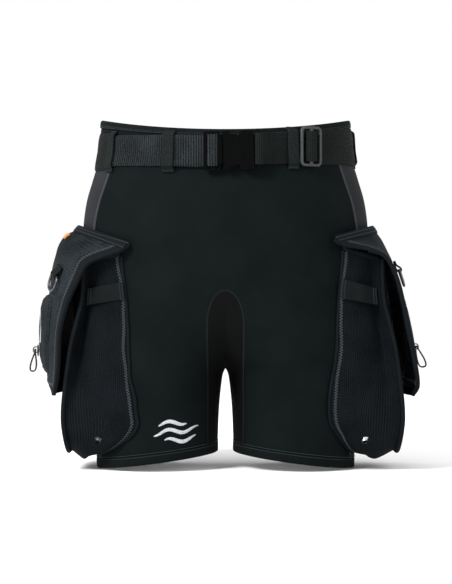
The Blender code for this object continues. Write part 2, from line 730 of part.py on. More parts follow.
def make_pocket_bag(side):
    """Bellows gusset, outer panel, piping, strap, grommet and loop patch of one pocket."""
    steps = spread(0, 1, 37)
    across = [0, 0.25, 0.5, 0.75, 1]
    outer = [[gusset_section(t, w, side, 0) for w in across] for t in steps]
    inner = [[gusset_section(t, w, side, GUSSET_THICKNESS) for w in across] for t in steps]
    make_object("pocket_gusset_" + side, shell_mesh(outer, inner), "pocket_cloth")

    up = [0.0, 0.02, 0.06, 0.11, 0.165, 0.25, 0.37, 0.5, 0.63, 0.76, 0.88, 1.0]
    grid = spread(-1, 1, 9)
    outer = [[panel_point(u, v, side, 0) for u in grid] for v in up]
    inner = [[panel_point(u, v, side, GUSSET_THICKNESS) for u in grid] for v in up]
    make_object("pocket_panel_" + side, shell_mesh(outer, inner), "pocket_cloth")

    sections = []
    for t in steps:
        y, height, lean = pocket_path(t)
        centre = Vector((SIDES[side] * piping_x(height, side), y, height))
        outwards = Vector((0, *lean))
        sections.append([centre + outwards * (1.7 + 1.3 * math.cos(turn))
                         + Vector((1.3 * math.sin(turn), 0, 0))
                         for turn in spread(0, math.radians(300), 6)])
    make_object("pocket_piping_" + side, sweep_mesh(sections), "binding")

    straight = pocket_length()
    strap_spans = ((0.1, 0.88), ((POCKET_TOP - STRAP_HEIGHT - STRAP_WIDTH / 2) / straight,
                                 (POCKET_TOP - STRAP_HEIGHT + STRAP_WIDTH / 2) / straight))
    surface_patch("pocket_strap_" + side, "webbing_fine",
                  lambda w, t, off: gusset_section(t, w, side, -off),
                  strap_spans, (5, 2), (GAP + WEBBING_THICKNESS, GAP))
    surface_patch("loop_patch_" + side, "hook_and_loop",
                  lambda u, v, off: panel_point(u, v, side, -off),
                  ((-0.55, 0.55), (0.38, 0.54)), (7, 3), (GAP + 1.4, GAP))
    make_grommet(side)


def make_grommet(side):
    """The eyelet that drains the pocket, low down at the front."""
    place = 0.375
    centre = gusset_section(place, 0.5, side, 0)
    along = (gusset_section(place + 0.01, 0.5, side, 0) - centre).normalized()
    across = (gusset_section(place, 0.6, side, 0) - centre).normalized()
    out = Vector((0, *pocket_path(place)[2]))
    sections = []
    for index in range(16):
        turn = 2 * math.pi * index / 16
        lean = along * math.cos(turn) + across * math.sin(turn)
        sections.append([centre + lean * radius + out * lift for radius, lift in
                         ((3.0, 1.0), (3.0, 2.2), (6.0, 2.0), (6.0, 1.0))])
    make_object("drain_grommet_" + side, sweep_mesh(sections, closed=True), "steel")


def flap_point(u, v, side, outward=0.0):
    """Point on the flap's mid surface: u front to back, v from the thigh to the free edge."""
    mid_x, mid_z = smooth_pair(FLAP_MID[side], v)
    edge_x, edge_z = smooth_pair(FLAP_EDGE[side], v)
    share = abs(u) ** 2.2
    y = u * smooth_value(FLAP_HALF_WIDTH[side], v)
    z = mid_z * (1 - share) + edge_z * share
    x = max(mid_x * (1 - share) + edge_x * share, leg_x(y, z) + FLAP_TO_LEG)
    point = Vector((SIDES[side] * x, y, z))
    if outward:
        point += outward * flap_normal(u, v, side)
    return point


def flap_normal(u, v, side):
    """Unit normal of the flap, pointing away from the leg."""
    step = 0.01
    u0, u1 = max(u - step, -1), min(u + step, 1)
    v0, v1 = max(v - step, 0), min(v + step, 1)
    along = flap_point(u1, v, side) - flap_point(u0, v, side)
    down = flap_point(u, v1, side) - flap_point(u, v0, side)
    return (down.cross(along) * SIDES[side]).normalized()


def pouch_point(u, v, side, outward):
    """Point above the zipped pouch's outer face, which swells from its edges."""
    start, end = POUCH_SPAN
    rise = min(v - start, end - v, 0.08) / 0.08
    swell = (1 - (u / POUCH_HALF_SPAN) ** 4) * math.sqrt(max(rise, 0))
    lift = FLAP_THICKNESS / 2 + 1.6 + (POUCH_DEPTH - 1.6) * swell
    return flap_point(u, v, side, lift + outward)


def fold_v(u):
    """Where the flap bends: high on the outer side, lower towards its two ends."""
    return FLAP_FOLD_MID + (FLAP_FOLD_EDGE - FLAP_FOLD_MID) * abs(u) ** 2


def flap_grid(side, limits, columns, outward, rows):
    """Grid of flap points between two v limits, each given as a function of u."""
    first, last = limits
    return [[flap_point(u, first(u) + (last(u) - first(u)) * row / (rows - 1), side, outward)
             for u in columns] for row in range(rows)]


def make_flap_sheets(side, hinge):
    """Yoke sewn to the thigh, hinged flap panel and the binding round its free edges."""
    half = FLAP_THICKNESS / 2
    columns = spread(-1, 1, 17)
    limits = (lambda u: 0.012, lambda u: fold_v(u) - 0.006)
    grids = [flap_grid(side, limits, columns, depth, 4) for depth in (half, -half)]
    make_object("flap_yoke_" + side, shell_mesh(*grids), "flap_cloth")

    columns = spread(-0.955, 0.955, 15)
    limits = (lambda u: fold_v(u) + 0.006, lambda u: 0.958)
    grids = [flap_grid(side, limits, columns, depth, 12) for depth in (half, -half)]
    make_object("flap_panel_" + side, shell_mesh(*grids), "flap_cloth", hinge)

    down = [max(v, FLAP_FOLD_EDGE + 0.008) for v in spread(fold_v(0.955) + 0.006, 0.958, 12)]
    route = [((-1, v), (-0.964, v)) for v in down]
    route += [((u, 1), (u * 0.964, 0.974)) for u in spread(-1, 1, 15)]
    route += [((1, v), (0.964, v)) for v in reversed(down)]
    half += 0.6
    sections = [[flap_point(*outer, side, half), flap_point(*outer, side, -half),
                 flap_point(*inner, side, -half), flap_point(*inner, side, half)]
                for outer, inner in route]
    make_object("flap_binding_" + side, sweep_mesh(sections), "binding", hinge)


def make_flap_fittings(side, hinge):
    """Pouch, zip tape, reflective strip and hook patch, which ride on the flap."""
    skin = FLAP_THICKNESS / 2 + GAP
    span = (-POUCH_HALF_SPAN, POUCH_HALF_SPAN)
    columns, rows = spread(*span, 9), spread(*POUCH_SPAN, 11)
    outer = [[pouch_point(u, v, side, 0) for u in columns] for v in rows]
    inner = [[flap_point(u, v, side, skin) for u in columns] for v in rows]
    make_object("flap_pouch_" + side, shell_mesh(outer, inner), "flap_cloth", hinge)
    zip_reach = ZIP_HALF_WIDTH / 88
    surface_patch("zip_tape_" + side, "zip_tape",
                  lambda u, v, off: pouch_point(u, v, side, off),
                  ((-zip_reach, zip_reach), (0.53, 0.88)), (3, 8), (GAP + 1.0, GAP), hinge)
    surface_patch("reflective_strip_" + side, "reflective",
                  lambda u, v, off: pouch_point(u, v, side, off),
                  ((-0.22, -0.15), (0.58, 0.76)), (2, 6), (GAP + 0.8, GAP), hinge)
    surface_patch("hook_patch_" + side, "hook_and_loop",
                  lambda u, v, off: flap_point(u, v, side, off),
                  ((-0.5, 0.5), (0.7, 0.84)), (7, 4), (-skin - 0.7, -skin - 2.1), hinge)
    if side == "right":
        surface_patch("orange_tab", "orange_tape",
                      lambda u, v, off: flap_point(u, v, side, off),
                      ((-0.34, -0.22), (0.085, 0.135)), (3, 3), (skin + 1.2, skin), hinge)


def flap_frame(u, v, side, lift):
    """Place function on the flap: (along the flap, outwards, up it) from a point of the surface."""
    origin = pouch_point(u, v, side, 0) if lift else flap_point(u, v, side, FLAP_THICKNESS / 2)
    out = flap_normal(u, v, side)
    along = (flap_point(u + 0.02, v, side) - flap_point(u - 0.02, v, side)).normalized()
    up = out.cross(along) * SIDES[side]

    def place(point):
        return origin + along * point[0] + out * point[1] + up * point[2]
    return place


def tube_mesh(path, normal, radius, sides=6):
    """A closed round ring along a flat loop of points."""
    sections = []
    for index, centre in enumerate(path):
        run = (path[(index + 1) % len(path)] - path[index - 1]).normalized()
        side = run.cross(normal)
        sections.append([centre + normal * radius * math.cos(turn) + side * radius * math.sin(turn)
                         for turn in [2 * math.pi * step / sides for step in range(sides)]])
    return sweep_mesh(sections, closed=True)


def make_zip_slider(side):
    """Slider on the zip tape and the cord loop that hangs from its bridge."""
    place = flap_frame(0, SLIDER_V, side, True)
    seat = 2.9
    base = box_mesh((-4.5, seat, -7), (4.5, seat + 2.6, 7), place)
    slider = make_object("zip_slider_" + side, base, "steel", place((0, 0, 0)))

    def edge_on(point):
        return place((point[1], point[0], point[2]))

    bridge = plate_mesh([seat + 1.0, seat + 2.2, seat + 6.6, seat + 8.2], [-3.4, -1.6, 3.6, 5.4],
                        [(1, 1)], -1.6, 1.6, edge_on)
    unite(slider, [bridge], "steel", place((0, 0, 0)))
    pivot = (0, seat + 4.7, 1.0)
    path = [(x, seat + 4.7, z) for x, z in ((-4, 1), (4, 1), (5.4, -0.6), (5.4, -22), (3.4, -26),
                                            (-3.4, -26), (-5.4, -22), (-5.4, -0.6))]
    ring = tube_mesh([place(point) for point in path], place((0, 1, 0)) - place((0, 0, 0)), 1.2)
    make_object("zip_pull_" + side, ring, "cord", place(pivot))


def make_flap_ring(side, hinge):
    """Webbing tab on the flap and the ring that hangs in it."""
    place = flap_frame(*RING_PLACE, side, False)

    def edge_on(point):
        return place((point[1], point[0], point[2]))

    tab = plate_mesh([GAP, 1.9, 6.7, 8.2], [-3.8, -2.3, 2.3, 12], [(1, 1)], -8, 8, edge_on)
    make_object("ring_tab_" + side, tab, "webbing_fine", hinge)
    middle = 4.3
    arc = [(11.5 * math.cos(turn), -11 + 9.5 * math.sin(turn))
           for turn in spread(0, -math.pi, 9)]
    path = [place((x, middle, z)) for x, z in [(-11.5, 0), (11.5, 0), *arc]]
    ring = tube_mesh(path, place((0, 1, 0)) - place((0, 0, 0)), 1.5)
    make_object("ring_" + side, ring, "steel", place((0, middle, 0)))


def main():
    """Clear the scene and build every piece."""
    for existing in list(bpy.data.objects):
        bpy.data.objects.remove(existing)
    make_front_and_back()
    make_side_panels()
    make_gusset()
    for side, sign in SIDES.items():
        make_ring("hem_" + side, 0, HEM_HEIGHT, "neoprene", 2, proud=0.3, sign=sign, level=True)
        make_pocket_bag(side)
        hinge = flap_point(0, FLAP_FOLD_MID, side, FLAP_THICKNESS / 2 + GAP)
        make_flap_sheets(side, hinge)
        make_flap_fittings(side, hinge)
        make_zip_slider(side)
        make_flap_ring(side, hinge)
    make_ring("waistband", BAND_BOTTOM, BAND_TOP - GAP, "neoprene", 4, count=64)
    make_ring("waist_binding", BAND_TOP, RIM, "binding", 2, count=64, thickness=4.2, proud=0.4)
    make_belt()


main()
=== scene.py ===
"""Looks of the dive cargo shorts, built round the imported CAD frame.

Sizes are millimetres and heights are measured from the hems, as in the CAD; to_frame() turns them
into the frame's metres. X runs to the wearer's left and the front faces -Y.
"""
import math

import bmesh
import bpy
import numpy as np
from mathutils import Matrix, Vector


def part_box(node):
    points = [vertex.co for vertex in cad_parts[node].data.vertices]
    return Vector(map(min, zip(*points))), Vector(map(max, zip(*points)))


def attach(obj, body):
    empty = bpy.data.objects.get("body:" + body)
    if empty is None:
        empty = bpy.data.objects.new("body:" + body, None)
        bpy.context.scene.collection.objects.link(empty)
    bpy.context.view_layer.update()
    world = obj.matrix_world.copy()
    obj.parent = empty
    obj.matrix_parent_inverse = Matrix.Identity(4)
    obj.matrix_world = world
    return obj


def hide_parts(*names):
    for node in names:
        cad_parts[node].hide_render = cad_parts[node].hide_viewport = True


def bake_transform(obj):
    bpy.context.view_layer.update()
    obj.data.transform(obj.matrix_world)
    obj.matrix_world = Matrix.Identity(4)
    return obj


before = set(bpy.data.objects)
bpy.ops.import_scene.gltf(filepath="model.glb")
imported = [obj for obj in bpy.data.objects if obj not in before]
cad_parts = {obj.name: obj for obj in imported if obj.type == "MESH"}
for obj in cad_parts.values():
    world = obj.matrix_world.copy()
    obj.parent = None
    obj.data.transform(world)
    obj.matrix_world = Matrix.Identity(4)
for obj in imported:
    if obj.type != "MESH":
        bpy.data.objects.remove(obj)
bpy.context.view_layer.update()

MM = 0.001
WAIST_HEIGHT = -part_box("hem_left")[0].z / MM
CAMERA_DISTANCE = 2.5
FRAME_HEIGHT = 0.73
CAMERA_HEIGHT = -0.202
CAMERA_X = 0.0006
FLOOR_REACH = 4.0
FLOOR_GAP = 0.0005
LONG_SENSOR = 36.0
LIT_POINT = Vector((0, 0, -0.2))

# Garment shell: (height above the hem, value) pairs, as in the CAD.
SHELL_THICKNESS = 3.0
HALF_BREADTH = [(0, 160), (60, 163), (120, 168), (200, 174), (260, 178), (300, 177.5), (330, 173),
                (357, 165.5), (390, 157), (412, 155.5), (440, 155)]
FRONT_DEPTH = [(0, 80), (60, 86), (120, 95), (200, 112), (260, 122), (300, 123), (340, 118),
               (365, 113), (390, 111), (440, 110)]
BACK_FULLNESS = [(0, 0), (120, 2), (220, 10), (290, 12), (360, 4), (400, 0), (440, 0)]
LEG_INNER = [(0, 10), (60, 8), (100, 5), (116, 2.5), (124, -2), (135, -15), (150, -38), (185, -97),
             (220, -143), (260, -170), (300, -177.5)]
HIP_HEIGHT = 300.0
HEM_HEIGHT = 12.0
HEM_SLOPE = 0.13
HEM_REACH = 160.3
HEM_SLOPE_TOP = 142.0
ARCH_TOP = 220.0
ARCH_RADIUS = 40.0
ARCH_HALF_WIDTH = 22.0
BAND_BOTTOM = 389.0
BAND_TOP = 422.0
RIM = 432.0
# Cross-sections of the rim's binding and of a hem: (offset, height) pairs.
RIM_PROFILE = [(0.2, 422.2), (0.9, 422.9), (1.25, 425), (1.15, 428), (0.5, 430.6), (-0.6, 431.8),
               (-1.9, 432), (-3.2, 431.7), (-4.1, 430.4), (-4.4, 428), (-4.2, 424), (-3.6, 422.2)]
HEM_PROFILE = [(0.15, 12.1), (0.5, 10), (0.7, 6), (0.7, 2.2), (0.3, 0.7), (-0.6, 0.05), (-2.2, 0.05),
               (-3.1, 0.8), (-3.4, 3), (-3.2, 8), (-2.9, 12.1)]
FRONT_DIP = 19.0
BACK_DIP = 4.0

# Belt, as in the CAD.
WEBBING_WIDTH = 38.0
WEBBING_THICKNESS = 1.8
BELT_OFFSET = 1.2
BELT_HEIGHT = [(-180, 392), (-135, 389), (-90, 386.5), (-45, 394), (0, 398), (90, 394), (180, 392)]
LOOP_WIDTH = 14.0
LOOP_CLEARANCE = 6.4
DOUBLE_LOOP_CLEARANCE = 10.0
WEBBING_CURVE_RADIUS = 215.0
TRIGLIDE_ANGLE = -50.5
TRIGLIDE_RADIUS = 147.0
TRIGLIDE_STANDOFF = 6.6
TRIGLIDE_HALF_WIDTH = 12.4
TRIGLIDE_HALF_HEIGHT = 22.4
TRIGLIDE_CORNER = 4.5
WAIST_HALF_BREADTH = 156.0
WAIST_DEPTH = 110.0
WAIST_TURN_RADIUS = 150.0
# Paths of the webbing's middle, close to the CAD's: (along, depth) pairs round the plug's bar, out
# of the buckle and over the tri-glide's bar, the last one from the tri-glide's standoff.
BUCKLE_ROUTE = [(-74, 7.2), (-62, 7.2), (-50, 7.0), (-40, 6.2), (-32, 4.9), (-26, 4.7), (-22.5, 4.9),
                (-20.5, 7.0), (-20.5, 13.4), (-19.4, 15.1), (-15.5, 15.2), (-11.6, 15.1),
                (-10.7, 13.4), (-10.8, 7.0), (-12.0, 5.0), (-15.0, 4.7), (-17.5, 4.8)]
ADJUST_ROUTE = [(45, 7.2), (40, 6.9), (36.7, 7.6), (35.5, 10.4), (35.5, 15.6), (36.8, 18.4),
                (40.5, 19.0), (44.5, 17.8), (50, 13), (57, 8), (65, 4.9), (76, 3.9), (90, 4.4)]
BAR_ROUTE = [(-6.1, -1.4), (-6.0, 2.6), (-4.9, 4.8), (-2.6, 5.6), (0, 5.9), (2.6, 5.6), (4.9, 4.8),
             (6.0, 2.6), (6.1, -1.4)]
LOOP_THICKNESS = 1.6

# Leg pockets and flaps, as in the CAD but for the left flap's middle line and the flaps' tuck.
SIDES = {"left": 1, "right": -1}
PANEL_FLARE = {"left": 10.0, "right": -8.0}
PIPING_X = [(20, 200), (64, 205), (106, 202), (150, 196), (180, 189), (210, 182), (262, 180)]
POCKET_TOP = 258.0
POCKET_BOTTOM = 24.0
POCKET_HALF_WIDTH = 76.0
POCKET_CORNER = 38.0
POCKET_STRAIGHT = POCKET_TOP - POCKET_BOTTOM - POCKET_CORNER
POCKET_ARC = POCKET_CORNER * math.pi / 2
POCKET_INSET = POCKET_HALF_WIDTH - POCKET_CORNER
POCKET_PATH = 2 * (POCKET_STRAIGHT + POCKET_ARC + POCKET_INSET)
FOLD_DEPTH = [(0, 6), (0.07, 17), (0.2, 20), (0.3, 8), (0.38, 1), (0.45, -1), (0.5, -1), (0.62, 1),
              (0.75, 12), (0.9, 14), (1, 6)]
FOLD_SHARE = [(0, 0), (0.15, -0.1), (0.35, 0.1), (0.6, 0.75), (0.8, 1), (0.93, 0.45), (1, 0)]
EYELET_T = 0.375
GUSSET_THICKNESS = 2.4
GUSSET_WIDEN = {
    "right": [(20, 0.10), (40, 0.10), (55, 0.095), (75, 0.114), (90, 0.138), (110, 0.155),
              (133, 0.178), (200, 0.16), (262, 0.165)],
    "left": [(20, -0.14), (43, -0.11), (57, -0.04), (82, 0.025), (115, 0.06), (135, 0.04),
             (160, 0.01), (213, -0.01), (262, 0.0)],
}
GUSSET_SAG = 8.0
GUSSET_RISE = {"right": 5.0, "left": 13.0}
GUSSET_RISE_START = 195.0
PANEL_BULGE = 7.0
PANEL_TO_LEG = 14.0
STRAP_HEIGHT = 218.0
STRAP_WIDTH = 20.0
STRAP_SLOPE = 6.0
FLAP_THICKNESS = 4.0
FLAP_MID = {
    "right": [(0, (181.5, 299)), (0.06, (188, 292)), (0.12, (198, 287.5)), (0.18, (206, 276)),
              (0.26, (210, 262)), (0.36, (214, 245)), (0.5, (218, 215)), (0.66, (220, 180)),
              (0.84, (220, 135)), (0.94, (219, 108)), (1, (212, 92))],
    "left": [(0, (181.5, 299)), (0.06, (187, 290)), (0.12, (193, 281)), (0.18, (199, 269)),
             (0.26, (204.5, 256)), (0.36, (209, 240)), (0.5, (216, 212)), (0.66, (222, 180)),
             (0.84, (230, 135)), (0.94, (235, 108)), (1, (230, 91))],
}
FLAP_EDGE = {
    "right": [(0, (110, 277)), (0.06, (125, 267)), (0.12, (151, 258)), (0.18, (166, 251)),
              (0.26, (174, 238)), (0.36, (183, 219)), (0.5, (192, 199)), (0.66, (199, 170)),
              (0.84, (202, 128)), (0.94, (205, 103)), (1, (209, 92))],
    "left": [(0, (128, 283)), (0.06, (137, 276)), (0.12, (152, 273)), (0.18, (172, 270)),
             (0.26, (191, 262)), (0.36, (203, 243)), (0.5, (213, 212)), (0.66, (221, 172)),
             (0.84, (230, 130)), (0.94, (233, 104)), (1, (228, 92))],
}
FLAP_HALF_WIDTH = {
    "right": [(0, 101), (0.06, 101), (0.18, 96), (0.5, 89), (0.84, 84), (0.94, 77), (1, 62)],
    "left": [(0, 96), (0.06, 97), (0.18, 95), (0.5, 89), (0.84, 84), (0.94, 77), (1, 62)],
}
FLAP_TO_LEG = 5.5
FLAP_TUCK = {"right": (0.0, 0.9), "left": (0.75, 1.0)}
TUCK_DOWN = [(0, 0), (0.26, 0), (0.36, 5.5), (0.5, 9), (0.66, 9.5), (0.84, 7.5), (0.94, 7.5), (1, 6)]
POUCH_SPAN = (0.5, 0.9)
POUCH_HALF_SPAN = 0.6
POUCH_DEPTH = 8.0
FLAP_BEND = (2.0, 24.0)
FLAP_CORNER = 0.07
FOLD_TOP = np.array([181.5, 0, 299])
FOLD_LINE = np.array([0.294, 0, -0.956])
ZIP_SPAN = (0.53, 0.88)
ZIP_HALF_TAPE = 8.0 / 88
SLIDER_V = 0.8
RING_PLACE = (-0.62, 0.35)

# Stitching and trims.
THREAD = 0.34
RIB_PITCH = 3.1
RIB_HEIGHT = 0.9
WAVE_X = 60.0
UV_PER_MM = 0.01
SCALE_OF_1_MM = 31.4
WELD_DISTANCE = 2e-6
SHARP_ANGLE = 40
NORMAL_REACH = 10.0


# ---------------------------------------------------------------- vectors and tables
def to_frame(points):
    """Millimetres above the hems to metres from the waist's centre."""
    return (np.asarray(points, float) - [0, 0, WAIST_HEIGHT]) * MM


def arrays(*values):
    """The values as float arrays of one shape."""
    return np.broadcast_arrays(*[np.asarray(value, float) for value in values])


def ease(share):
    """A share from 0 to 1, eased at both ends."""
    return share * share * (3 - 2 * share)


def unit(vectors):
    """Vectors of length one."""
    return vectors / np.maximum(np.linalg.norm(vectors, axis=-1, keepdims=True), 1e-12)


def smooth_value(table, at):
    """Values of a (position, value) table, eased between its points, at an array of positions."""
    places, values = np.array(table, float).T
    at = np.asarray(at, float)
    last = len(places) - 1
    low = np.clip(np.searchsorted(places, at) - 1, 0, last - 1)
    before, after = np.maximum(low - 1, 0), np.minimum(low + 2, last)
    slope_in = (values[low + 1] - values[before]) / (places[low + 1] - places[before])
    slope_out = (values[after] - values[low]) / (places[after] - places[low])
    span = places[low + 1] - places[low]
    t = np.clip((at - places[low]) / span, 0, 1)
    rise = ease(t)
    return (values[low] * (1 - rise) + values[low + 1] * rise
            + span * t * (1 - t) ** 2 * slope_in - span * t * t * (1 - t) * slope_out)


def smooth_pair(table, at):
    """Smooth values of a table whose values are (x, height) pairs."""
    return [smooth_value([(place, pair[axis]) for place, pair in table], at) for axis in (0, 1)]


def stack(*parts):
    """Numbers or arrays of coordinates as one array of points."""
    return np.stack(arrays(*parts), -1)


def lengths_along(points):
    """Distance from the first point to each point of a line."""
    steps = np.linalg.norm(np.diff(points, axis=0), axis=-1)
    return np.concatenate([[0], np.cumsum(steps)])


def follow(at, along, values):
    """Vectors given along a line, read at other distances along it."""
    return np.stack([np.interp(at, along, values[:, axis]) for axis in range(3)], -1)


def resample(points, step, *others):
    """The line, and values carried along it, at even steps."""
    along = lengths_along(points)
    at = np.linspace(0, along[-1], max(int(round(along[-1] / step)), 1) + 1)
    made = [follow(at, along, values) for values in (points, *others)]
    return made if others else made[0]


def even_line(points, normals, step):
    """The line and its unit normals at even steps."""
    points, tips = resample(points, step, points + unit(normals) * NORMAL_REACH)
    return points, unit(tips - points)


def rounded(points, passes=2):
    """The line with its corners cut, ends kept."""
    points = np.asarray(points, float)
    for _ in range(passes):
        cut = np.stack([points[:-1] * 0.75 + points[1:] * 0.25,
                        points[:-1] * 0.25 + points[1:] * 0.75], 1).reshape(-1, points.shape[1])
        points = np.concatenate([points[:1], cut, points[-1:]])
    return points


def routed_line(route, step):
    """An even line with rounded corners through (x, z) points, and directions square to it."""
    line = resample(rounded([(x, 0, z) for x, z in route], 3), step)
    ahead = unit(np.gradient(line, axis=0))
    return line, stack(-ahead[:, 2], 0, ahead[:, 0])


def squared_circle(count, power):
    """Points of a circle drawn out towards its corners."""
    turns = np.linspace(0, 2 * math.pi, count, endpoint=False)
    lean = stack(np.cos(turns), np.sin(turns))
    return np.copysign(np.abs(lean) ** power, lean)


# ---------------------------------------------------------------- garment surface
def leg_span(height):
    """Centre and half breadth of one leg's section; above the hips it is the whole body's."""
    outer = smooth_value(HALF_BREADTH, height)
    inner = np.where(np.asarray(height) < HIP_HEIGHT, smooth_value(LEG_INNER, height), -outer)
    return (outer + inner) / 2, (outer - inner) / 2


def hem_rise(x, height):
    """How much higher the leg's cloth sits towards the inside, fading out above the hem."""
    share = np.clip((height - HEM_HEIGHT) / (HEM_SLOPE_TOP - HEM_HEIGHT), 0, 1)
    return HEM_SLOPE * (HEM_REACH - x) * (1 - ease(share))


def leg_depth(height, rear):
    """How far the garment reaches to the front, or where rear is true to the back."""
    return smooth_value(FRONT_DEPTH, height) + np.where(rear, smooth_value(BACK_FULLNESS, height), 0)


def shell_face(angle, height):
    """Points on the garment's outer face (degrees from the outer side, -90 is the front)."""
    turn = np.radians(angle)
    centre, half = leg_span(height)
    depth = leg_depth(height, np.mod(turn, 2 * math.pi) < math.pi)
    lift = np.clip((np.asarray(height, float) - HIP_HEIGHT) / (RIM - HIP_HEIGHT), 0, 1)
    dip = np.where(np.sin(turn) < 0, FRONT_DIP, BACK_DIP)
    drop = dip * np.abs(np.sin(turn)) ** 1.5 * lift
    x = centre + half * np.cos(turn)
    return stack(x, depth * np.sin(turn), height - drop + hem_rise(x, height))


def shell_normal(angle, height):
    """Outward unit normals of the garment surface."""
    angle, height = arrays(angle, height)
    along = shell_face(angle + 0.5, height) - shell_face(angle - 0.5, height)
    up = shell_face(angle, height + 0.5) - shell_face(angle, height - 0.5)
    return unit(np.cross(along, up))


def shell_point(angle, height, offset=0.0):
    """Points a distance off the garment's outer face."""
    angle, height, offset = arrays(angle, height, offset)
    return shell_face(angle, height) + offset[..., None] * shell_normal(angle, height)


def shell_line(angle, height, offset=0.0):
    """Points off the garment's outer face and the face's normals there."""
    return shell_point(angle, height, offset), shell_normal(angle, height)


def seam_angle(height):
    """Angle of the side seams, fore and aft of the outer side."""
    return 25.5 + 4.5 * np.clip((np.asarray(height, float) - 300) / 90, 0, 1)


def angle_at(x, height):
    """Angle of the front point of a leg with this x."""
    centre, half = leg_span(height)
    return -np.degrees(np.arccos(np.clip((x - centre) / half, -1, 1)))


def inner_angle(height, inset=0.0):
    """Angle at which the front and back panels end: the centre line, or the arch's seam."""
    rise = np.clip(np.asarray(height, float) - (ARCH_TOP - ARCH_RADIUS), 0, ARCH_RADIUS) / ARCH_RADIUS
    seam = np.where(height < ARCH_TOP, ARCH_HALF_WIDTH * np.sqrt(1 - rise * rise) + inset, 0)
    return -angle_at(seam, height)


def leg_x(y, height):
    """X of the thigh's outer face at a y and height."""
    y = np.asarray(y, float)
    centre, half = leg_span(height)
    return centre + half * np.sqrt(np.clip(1 - (y / leg_depth(height, y > 0)) ** 2, 0, 1))


# ---------------------------------------------------------------- belt surface
def belt_centre(angle):
    """Height of the belt's centre line."""
    return smooth_value(BELT_HEIGHT, np.mod(np.asarray(angle, float) + 180, 360) - 180)


def belt_point(angle, offset, z):
    """Points outside the waistband at an angle, an offset from it and a height z."""
    angle, offset, z = arrays(angle, offset, z)
    height = z.copy()
    for _ in range(12):
        height = height + z - shell_face(angle, height)[..., 2]
    return shell_point(angle, height, offset)


def waist_angle(x):
    """Angle of the point on the front of the waist with this x."""
    return -np.degrees(np.arccos(np.asarray(x, float) / WAIST_HALF_BREADTH))


def arc_place(x, depth, height):
    """Points from x, depth outwards and height over the belt's middle, on the waist's front arc."""
    x, depth, height = arrays(x, depth, height)
    radius = WEBBING_CURVE_RADIUS + depth
    y = WEBBING_CURVE_RADIUS - WAIST_DEPTH - np.sqrt(radius * radius - x * x)
    return stack(x, y, belt_centre(waist_angle(x)) + height)


def triglide_place(along, depth, height):
    """Points from a distance along, depth outwards and height, on the arc the tri-glide slides on."""
    seat = belt_point(TRIGLIDE_ANGLE, 0, belt_centre(TRIGLIDE_ANGLE))
    pattern_height = seat[2] + (seat[2] - shell_face(TRIGLIDE_ANGLE, seat[2])[2])
    outward = unit(shell_normal(TRIGLIDE_ANGLE, pattern_height) * [1, 1, 0])
    tangent = np.array([-outward[1], outward[0], 0])
    along, depth, height = arrays(along, depth, height)
    turn = along / TRIGLIDE_RADIUS
    radius = TRIGLIDE_RADIUS + depth
    out = (radius * np.cos(turn) - TRIGLIDE_RADIUS)[..., None] * outward
    return seat + out + (radius * np.sin(turn))[..., None] * tangent + height[..., None] * [0, 0, 1]


# ---------------------------------------------------------------- pocket and flap surfaces
def pocket_path(t):
    """y, height and outward direction on the pocket's U, t from front top to rear top."""
    reach = np.asarray(t, float) * POCKET_PATH
    down = np.clip(reach, 0, POCKET_STRAIGHT)
    first = np.clip((reach - POCKET_STRAIGHT) / POCKET_ARC, 0, 1) * math.pi / 2
    across = np.clip(reach - POCKET_STRAIGHT - POCKET_ARC, 0, 2 * POCKET_INSET)
    beyond = reach - POCKET_STRAIGHT - POCKET_ARC - 2 * POCKET_INSET
    second = np.clip(beyond / POCKET_ARC, 0, 1) * math.pi / 2
    up = np.clip(beyond - POCKET_ARC, 0, None)
    turn = first + second
    lean = stack(-np.cos(turn), -np.sin(turn))
    y = -POCKET_INSET + across + POCKET_CORNER * lean[..., 0]
    height = POCKET_TOP - down + POCKET_CORNER * lean[..., 1] + up
    return y, height, lean


def piping_x(height, side):
    """X of the seam between the gusset and the outer panel."""
    return smooth_value(PIPING_X, height) + PANEL_FLARE[side]


def gusset_fold(t, w):
    """How far the gusset folds inwards between thigh and piping, deepest high up at the front."""
    depth, share = smooth_value(FOLD_DEPTH, t), smooth_value(FOLD_SHARE, w)
    arch = np.sin(np.pi * w)
    ripple = 1.3 * np.sin(9 * w + 40 * t) * arch + 0.8 * np.sin(75 * t) * arch
    return depth * share + ripple - 3.0 * arch


def gusset_point(t, w, side, lift=0.0):
    """Point on the bellows gusset: w runs from the thigh to the piping."""
    t, w = arrays(t, w)
    y, height, lean = pocket_path(t)
    widen = 1.0 + smooth_value(GUSSET_WIDEN[side], height) * (1 - w)
    sag = GUSSET_SAG * np.exp(-((t - 0.5) / 0.14) ** 2) * np.sin(np.pi * w)
    swell = sag - gusset_fold(t, w) + lift
    y = y * widen + lean[..., 0] * swell
    height = height + lean[..., 1] * swell
    raised = np.maximum(height - GUSSET_RISE_START, 0) / (POCKET_TOP - GUSSET_RISE_START)
    height = height + GUSSET_RISE[side] * raised * (1 - w)
    near_x = leg_x(y, height) + 1.2
    return stack(SIDES[side] * (near_x * (1 - w) + (piping_x(height, side) - 3.0) * w), y, height)


